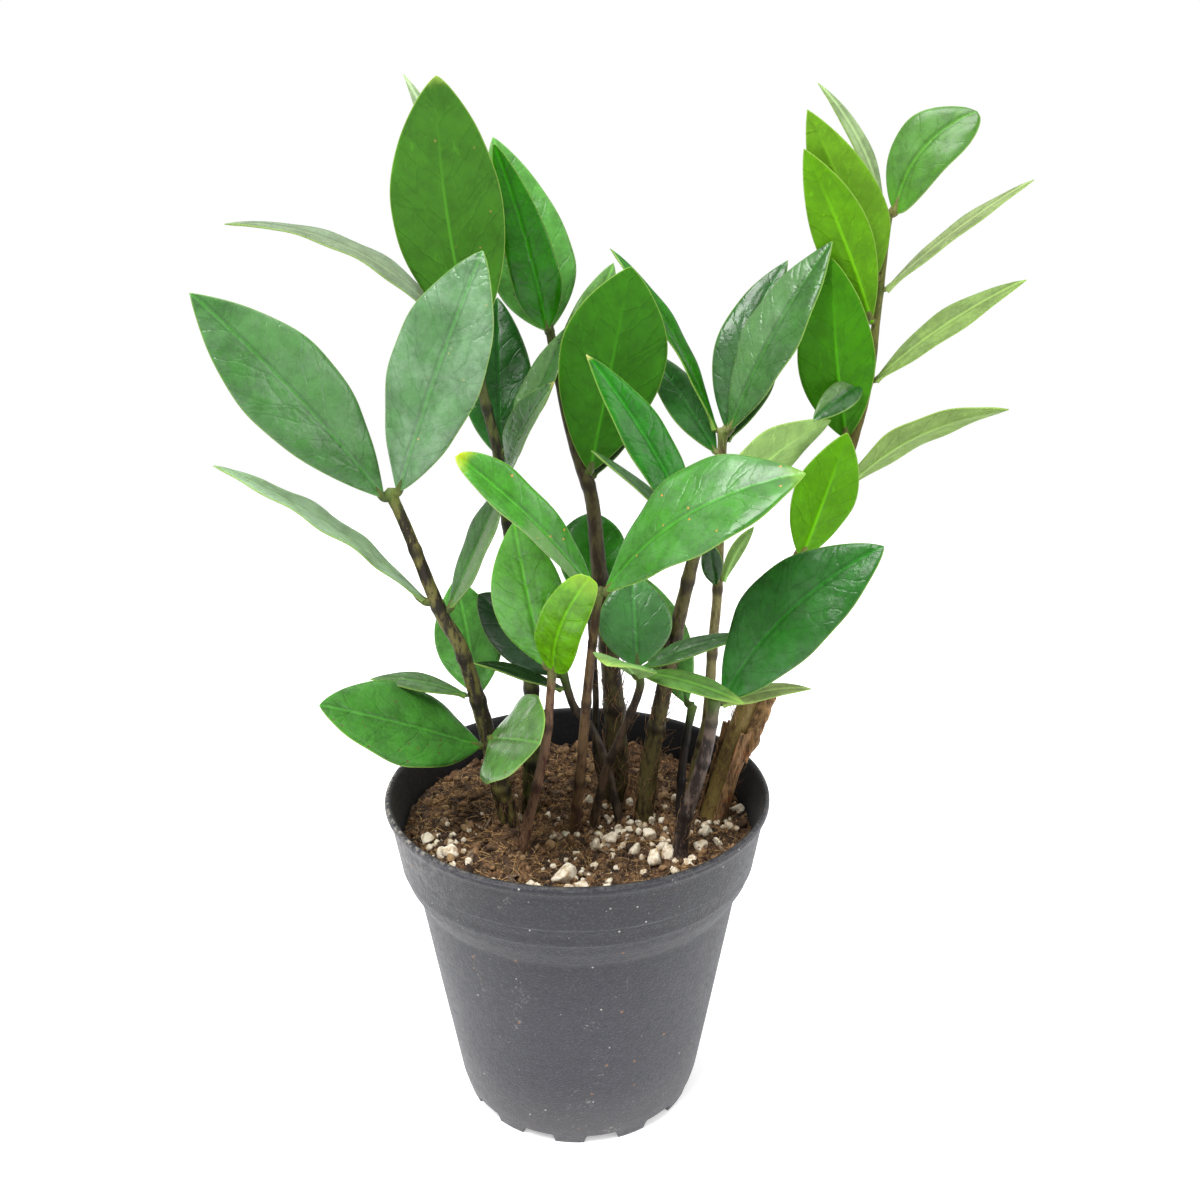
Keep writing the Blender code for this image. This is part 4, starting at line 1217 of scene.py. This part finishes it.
def strand(rng, start, heading, length, lift, radius):
    """Points and faces of a thin bent fibre, thinner toward its end."""
    sideways, upright = STRAND_BENDS
    line, point, direction = [], np.array(start, float), unit(np.array(heading, float))
    for _ in range(STRAND_POINTS):
        line.append(point)
        bend = np.array([rng.gauss(0, sideways), rng.gauss(0, sideways), rng.gauss(lift, upright)])
        direction = unit(direction + bend)
        point = point + direction * (length / (STRAND_POINTS - 1))
    return tube(line, np.linspace(radius, radius * STRAND_TIP, STRAND_POINTS), STRAND_SIDES)


def build_soil_fibres():
    """Coir and root fibres lying on the soil."""
    rng = random.Random(SEEDS["fibres"])
    shape = Shape()
    spots = [random_spot(rng, SOIL_EDGE_RADIUS - 3) for _ in range(FIBRE_COUNT)]
    for start in settle(spots, [FIBRE_SINK] * FIBRE_COUNT):
        angle = rng.uniform(0, math.tau)
        heading = (math.cos(angle), math.sin(angle), rng.uniform(-0.05, 0.35))
        length = rng.uniform(*FIBRE_LENGTHS)
        inward = SOIL_EDGE_RADIUS - math.hypot(start[0], start[1])
        points, faces = strand(rng, start, heading, min(length, inward), -0.07,
                               rng.uniform(*FIBRE_RADII))
        shape.add(points, faces)
    material = fibre_paint("coir", *COIR_COLOURS)
    shape.finish("soil_fibres", [material], "potting_soil")


# ---------------------------------------------------------------- stems
def stem_line(stem):
    """Centre line of a stem in mm, from inside the soil to its top."""
    line = catmull_rom(STEMS[stem][2], STEM_STEPS)
    lean = unit(line[1] - line[0])
    return np.vstack([line[0] - lean * STEM_DEPTH_IN_SOIL / lean[2], line])


def stem_radius(stem, height):
    """Radius in mm of a stem at each height, before its nodes swell it."""
    base, top, route = STEMS[stem]
    share = np.clip((height - route[0][2]) / (route[-1][2] - route[0][2]), 0, 1)
    return base + (top - base) * share ** 0.8


def stem_at(stem, height):
    """Centre point, direction and radius of a stem at this height, in mm."""
    line = stem_line(stem)
    heights = (height - 0.5, height, height + 0.5)
    below, here, above = (
        np.array([np.interp(level, line[:, 2], line[:, axis]) for axis in range(3)])
        for level in heights
    )
    if height >= line[-1, 2]:
        below, here, above = line[-2], line[-1], 2 * line[-1] - line[-2]
    return here, unit(above - below), float(stem_radius(stem, height))


def build_stem(stem, paints):
    """One stem with swollen dark nodes and a slightly ridged skin."""
    line = evenly_spaced(stem_line(stem), STEM_ROW_STEP)
    height = line[:, 2]
    radii = stem_radius(stem, height)
    band = np.zeros(len(line))
    swell, reach = NODE_SWELL
    for node in STEM_LOOKS[stem][3]:
        radii = radii * (1 + swell * np.exp(-((height - node) / reach) ** 2))
        band = np.maximum(band, np.exp(-((height - node + 0.4) / reach) ** 4))
    top = height[-1]
    swell, reach = TOP_SWELL
    radii = radii * (1 + swell * np.exp(-((height - top) / reach) ** 2))
    points, faces = tube(line, radii, STEM_SIDES)
    skin = points[:-2].reshape(len(line), STEM_SIDES, 3)
    outward = skin - line[:, None]
    outward /= np.linalg.norm(outward, axis=2)[:, :, None]
    ridges = lumps((skin * RIDGE_STRETCH).reshape(-1, 3), SKIN_RIDGES[0], SEEDS["ridges"])
    knots = lumps(skin.reshape(-1, 3), SKIN_KNOTS[0], SEEDS["knots"])
    raised = (ridges * SKIN_RIDGES[1] + knots * SKIN_KNOTS[1]).reshape(skin.shape[:2])
    points[:-2] += (outward * raised[:, :, None]).reshape(-1, 3)
    ends = [0, len(line) - 1]
    fresh = np.exp(-((height - top) / FRESH_REACH.get(stem, 4.0)) ** 2)
    shape = Shape()
    shape.add(
        points, faces,
        band=np.concatenate([np.repeat(band, STEM_SIDES), band[ends]]),
        fresh=np.concatenate([np.repeat(fresh, STEM_SIDES), fresh[ends]]),
    )
    shape.finish(f"stem_{stem}_skin", [paints[stem]], "stem_skin", [f"stem_{stem}"])


def build_hairs():
    """Brown fibres left by old sheaths round the feet of the stems."""
    rng = random.Random(SEEDS["hairs"])
    shape = Shape()
    for stem, count, low, high, length in HAIRS:
        for _ in range(count):
            height = low + (high - low) * rng.random() ** 1.6
            centre, along, radius = stem_at(stem, height)
            angle = rng.uniform(0, math.tau)
            outward = np.array([math.cos(angle), math.sin(angle), 0.0])
            outward = unit(outward - along * (outward @ along))
            start = centre + outward * radius * 0.97
            heading = along * rng.uniform(0.8, 1.2) + outward * rng.uniform(0.0, 0.28)
            points, faces = strand(rng, start, heading, length * rng.uniform(0.4, 1.0), 0.03,
                                   HAIR_RADIUS * rng.uniform(0.6, 1.3))
            shape.add(points, faces)
    material = fibre_paint("stem_fibre", *HAIR_COLOURS)
    shape.finish("stem_fibres", [material], "dry_sheath")


# ---------------------------------------------------------------- dry sheaths
def wrinkled_wrap(stem, heights, radii, start, sweep, rows, columns, ragged, seed):
    """Outer grid of a papery wrap round a stem; start and sweep in radians."""
    share = np.linspace(0, 1, rows)[:, None]
    turn = start + sweep * np.linspace(0, 1, columns)[None, :]
    top = 1 - ragged * (0.5 + 0.5 * np.array([
        noise.noise(Vector((angle * 2.1, seed, 0.0))) + 0.6 * noise.noise(Vector((angle * 6, seed, 3)))
        for angle in turn[0]
    ]))[None, :]
    level = heights[0] + (heights[-1] - heights[0]) * share * top
    radius = np.interp(level, heights, radii)
    grid = np.zeros((rows, columns, 3))
    for row in range(rows):
        for column in range(columns):
            centre, along, _ = stem_at(stem, level[row, column])
            side = unit(np.cross(along, (0, 1, 0)))
            back = np.cross(along, side)
            angle = turn[0, column]
            spoke = side * math.cos(angle) + back * math.sin(angle)
            fold = sum(
                depth * noise.noise(Vector((angle * often, level[row, column] / long, seed + 5 * index)))
                for index, (depth, often, long) in enumerate(WRAP_FOLDS)
            )
            grid[row, column] = centre + spoke * (radius[row, column] + fold)
    return grid


def thicken(grid, thickness):
    """Closed sheet of even thickness about a grid of points."""
    push = grid_normals(grid) * (thickness / 2)
    points, upper, lower, rim = closed_sheet(grid + push, grid - push)
    return points, upper + lower + rim


def build_sheath():
    """The tan papery tube at the foot of the tallest right-hand stem, split low on
    its left and ending in a curled flap."""
    shape = Shape()
    grid = wrinkled_wrap(
        SHEATH_STEM, SHEATH_HEIGHTS, SHEATH_RADII, math.radians(SHEATH_START),
        math.radians(SHEATH_SWEEP), SHEATH_ROWS, SHEATH_COLUMNS, SHEATH_TEAR, SEEDS["sheath"],
    )
    shape.add(*thicken(grid, SHEATH_THICKNESS))
    line = catmull_rom(FLAP_LINE, 8)
    half = np.interp(np.linspace(0, 1, len(line)), np.linspace(0, 1, len(FLAP_LINE)), FLAP_HALF_WIDTHS)
    across = np.linspace(-1, 1, FLAP_COLUMNS)
    side, out = np.array(FLAP_SIDE), np.array(FLAP_OUT)
    curl = 1.0 - np.cos(across * 1.5)
    flap = line[:, None] + side * (across[None, :] * half[:, None])[..., None]
    flap = flap - out * (curl[None, :] * half[:, None] * 0.9)[..., None]
    crumple = sum(
        lumps(flap.reshape(-1, 3), width, SEEDS["flap"] + index) * height
        for index, (width, height) in enumerate(FLAP_CRUMPLES)
    )
    flap = flap + out * crumple.reshape(flap.shape[:2])[..., None]
    shape.add(*thicken(flap, SHEATH_THICKNESS))
    material = sheath_paint("papery_sheath", *PAPER_COLOURS)
    shape.finish("sheath_j_paper", [material], "dry_sheath", ["sheath_j"])


def build_husks():
    """Short torn scales left hugging the feet of the stems."""
    shape = Shape()
    for stem, count, low, high, seed in HUSKS:
        for index in range(count):
            base = float(stem_radius(stem, low)) + 0.35 + 0.25 * index
            heights = (low, (low + high) / 2, high - 5 * index)
            grid = wrinkled_wrap(
                stem, heights, (base + 0.1, base, base + 0.15), 2.3 * index + seed, HUSK_SWEEP,
                HUSK_ROWS, HUSK_COLUMNS, HUSK_TEAR, seed + index,
            )
            shape.add(*thicken(grid, SHEATH_THICKNESS * 0.8))
    material = sheath_paint("torn_scales", *HUSK_COLOURS)
    shape.finish("stem_husks", [material], "dry_sheath")


# ---------------------------------------------------------------- leaflets
def leaf_start(leaf):
    """A leaflet's joint in its stem, the way out of it, and where the blade starts."""
    stem, height, tip = LEAVES[leaf][:3]
    joint, along, radius = stem_at(stem, height)
    reach = np.array(tip, float) - joint
    outward = unit(reach - along * (reach @ along))
    return joint, outward, joint + outward * (radius + CLEARANCE + BLADE_BASE_THICKNESS / 2)


def blade_rows(length):
    """Fractions of the length of a blade's rows, closer together at its ends."""
    count = max(14, int(math.ceil(length / BLADE_ROW_STEP)))
    even = np.linspace(0, 1, count)
    return (even - 0.08 * np.sin(math.tau * even))[:, None]


def blade_columns():
    """Places of a blade's columns from edge to edge, closer together at the midrib."""
    even = np.linspace(-1, 1, 2 * BLADE_HALF_COLUMNS + 1)
    return (np.sign(even) * np.abs(even) ** BLADE_CROWDING)[None, :]


def blade(leaf):
    """Upper and lower grids of a leaflet's blade, and its length and half-width."""
    _, _, tip, (width, widest, roundness), face, arch, sweep, fold = LEAVES[leaf]
    start = leaf_start(leaf)[2]
    span = np.array(tip, float) - start
    length, ahead = np.linalg.norm(span), unit(span)
    look = compass(*face)
    up = unit(look - ahead * (look @ ahead))
    side = np.cross(ahead, up)
    t, s = blade_rows(length), blade_columns()
    across = np.where(t < widest, t / widest, (1 - t) / (1 - widest))
    least = BLADE_BASE_WIDTH * (1 - t) + BLADE_TIP_WIDTH * t
    half = np.maximum(width * np.sin(math.pi / 2 * across) ** roundness, least) / 2
    tangent = span + up * (arch * (4 - 8 * t))
    tangent = tangent / np.linalg.norm(tangent, axis=1)[:, None]
    normal = np.cross(side, tangent)
    normal = normal[:, None]
    x, y = half * s, t * length
    bow = 4 * t * (1 - t)
    centre = (start + span * t + up * (arch * bow) + side * (sweep * bow))[:, None]
    seed = sum(ord(letter) * (place + 1) for place, letter in enumerate(leaf)) * 0.37
    phase = seed + np.where(s > 0, 1.9, 0.0)
    room = np.minimum(1, half / 9)
    wave = EDGE_WAVE * np.sin(math.tau * y / EDGE_WAVE_LENGTH + phase) * s ** 2 * room * np.sqrt(bow)
    tilt = math.radians(fold)
    lift = half * np.abs(s) * math.sin(tilt) * np.minimum(1, 3 * t) - 0.07 * half * s ** 4
    surface = centre + side * (x * math.cos(tilt))[..., None] + normal * (lift + wave)[..., None]
    course = (y - VEIN_SLANT * np.abs(x) - VEIN_CURVE * x ** 2) / VEIN_SPACING + 0.5 * (x > 0)
    quilt = -QUILT_DEPTH * np.cos(math.tau * course) * (1 - s ** 4) * np.minimum(1, half / 7)
    fade = (1 - t) ** 0.7
    groove = -RIB_GROOVE[0] * np.exp(-(x / RIB_GROOVE[1]) ** 2) * fade
    ridge = RIB_RIDGE[0] * np.exp(-(x / RIB_RIDGE[1]) ** 2) * fade
    body = BLADE_EDGE_THICKNESS + (BLADE_THICKNESS - BLADE_EDGE_THICKNESS) * np.sqrt(1 - s ** 4)
    thick = body * np.minimum(1, 0.35 + (length - y) / 4)
    thick = thick + BLADE_BASE_THICKNESS * np.exp(-y / BLADE_BASE_FADE)
    top = surface + normal * (thick / 2 + quilt + groove)[..., None]
    bottom = surface - normal * (thick / 2 - quilt * 0.6 + ridge)[..., None]
    blade_value = np.stack([x, y + 0 * s, half + 0 * s], axis=-1)
    return top, bottom, blade_value, length


def build_leaf(leaf, paints):
    """One leaflet: a veined, gently waved blade on a short thick stalk."""
    top, bottom, blade_value, length = blade(leaf)
    points, upper, lower, rim = closed_sheet(top, bottom)
    flat = blade_value.reshape(-1, 3)
    shape = Shape()
    slots = [0] * len(upper) + [1] * (len(lower) + len(rim))
    shape.add(points, upper + lower + rim, slots, blade=np.vstack([flat, flat]))
    joint, outward, start = leaf_start(leaf)
    mid = (top + bottom)[:, BLADE_HALF_COLUMNS] / 2
    reach = np.searchsorted(blade_value[:, 0, 1], STALK_REACH)
    line = catmull_rom([joint, start - outward * 0.2, mid[reach // 2], mid[reach]], 5)
    bulk = min(1.0, LEAVES[leaf][3][0] / 16)
    radii = np.interp(np.linspace(0, 1, len(line)), (0, 0.35, 0.7, 1), STALK_RADII) * bulk
    stalk_points, stalk_faces = tube(line, radii, STALK_SIDES)
    shape.add(stalk_points, stalk_faces, 2, fresh=np.full(len(stalk_points), STALK_GREEN))
    materials = [
        upper_leaf_paint(leaf, length), lower_leaf_paint(leaf, length), paints[LEAVES[leaf][0]],
    ]
    node = f"leaf_{leaf}"
    replaced = [node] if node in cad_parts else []
    shape.finish(f"{node}_blade", materials, "leaf_green", replaced)


# ---------------------------------------------------------------- studio
def add_floor():
    """Pale round floor, plainly finished."""
    paint = Paint("studio_floor")
    paint.colour = paint.mix(paint.noise(300, detail=2), *FLOOR_TONES)
    paint.finish(0.9, Emission_Color=WHITE, Emission_Strength=FLOOR_GLOW)
    bm = bmesh.new()
    bmesh.ops.create_circle(bm, cap_ends=True, radius=FLOOR_RADIUS, segments=FLOOR_SIDES)
    mesh = bpy.data.meshes.new("studio_floor")
    bm.to_mesh(mesh)
    bm.free()
    mesh.materials.append(paint.material)
    floor = bpy.data.objects.new("studio_floor", mesh)
    bpy.context.scene.collection.objects.link(floor)


def add_world():
    """White backdrop, with softer light from the surroundings and less overhead."""
    world = bpy.data.worlds.new("studio")
    bpy.context.scene.world = world
    world.use_nodes = True
    tree = world.node_tree
    source = tree.nodes.new("ShaderNodeTexCoord")
    split = tree.nodes.new("ShaderNodeSeparateXYZ")
    rise = tree.nodes.new("ShaderNodeMapRange")
    tree.links.new(source.outputs["Generated"], split.inputs[0])
    tree.links.new(split.outputs["Z"], rise.inputs["Value"])
    rise.inputs["From Min"].default_value, rise.inputs["From Max"].default_value = SKY_FADE
    rise.inputs["To Min"].default_value = SKY_HORIZON
    rise.inputs["To Max"].default_value = SKY_ABOVE
    path = tree.nodes.new("ShaderNodeLightPath")
    seen = tree.nodes.new("ShaderNodeMath")
    seen.operation = "MAXIMUM"
    tree.links.new(path.outputs["Is Camera Ray"], seen.inputs[0])
    tree.links.new(rise.outputs["Result"], seen.inputs[1])
    tree.links.new(seen.outputs[0], tree.nodes["Background"].inputs["Strength"])
    tree.nodes["Background"].inputs["Color"].default_value = WHITE


def add_lights():
    """Large soft lamps round the plant."""
    for name, spot, size, power in LIGHTS:
        lamp = bpy.data.lights.new(name, "AREA")
        lamp.shape = "RECTANGLE"
        lamp.size, lamp.size_y = size
        lamp.energy = power
        obj = bpy.data.objects.new(name, lamp)
        obj.location = Vector(spot) * MM
        aim = Vector(LIGHT_TARGET) * MM - obj.location
        obj.rotation_euler = aim.to_track_quat("-Z", "Y").to_euler()
        bpy.context.scene.collection.objects.link(obj)


def add_camera():
    """Camera at eye level with the leaves, looking slightly down."""
    data = bpy.data.cameras.new("camera")
    data.lens = CAMERA_LENS
    data.sensor_width = CAMERA_SENSOR
    data.clip_start, data.clip_end = CAMERA_CLIP
    camera = bpy.data.objects.new("camera", data)
    camera.location = Vector(CAMERA_SPOT) * MM
    camera.rotation_euler = (math.radians(90 - CAMERA_PITCH), 0.0, 0.0)
    bpy.context.scene.collection.objects.link(camera)
    bpy.context.scene.camera = camera


def main():
    """Build the plant, the studio and the camera."""
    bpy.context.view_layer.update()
    bpy.context.scene.view_settings.view_transform = "Standard"
    build_pot()
    build_soil()
    build_crumbs()
    build_chips()
    build_grains()
    build_soil_fibres()
    paints = {stem: stem_paint(stem) for stem in STEMS}
    for stem in STEMS:
        build_stem(stem, paints)
    build_hairs()
    build_husks()
    build_sheath()
    for leaf in LEAVES:
        build_leaf(leaf, paints)
    add_floor()
    add_world()
    add_lights()
    add_camera()


main()
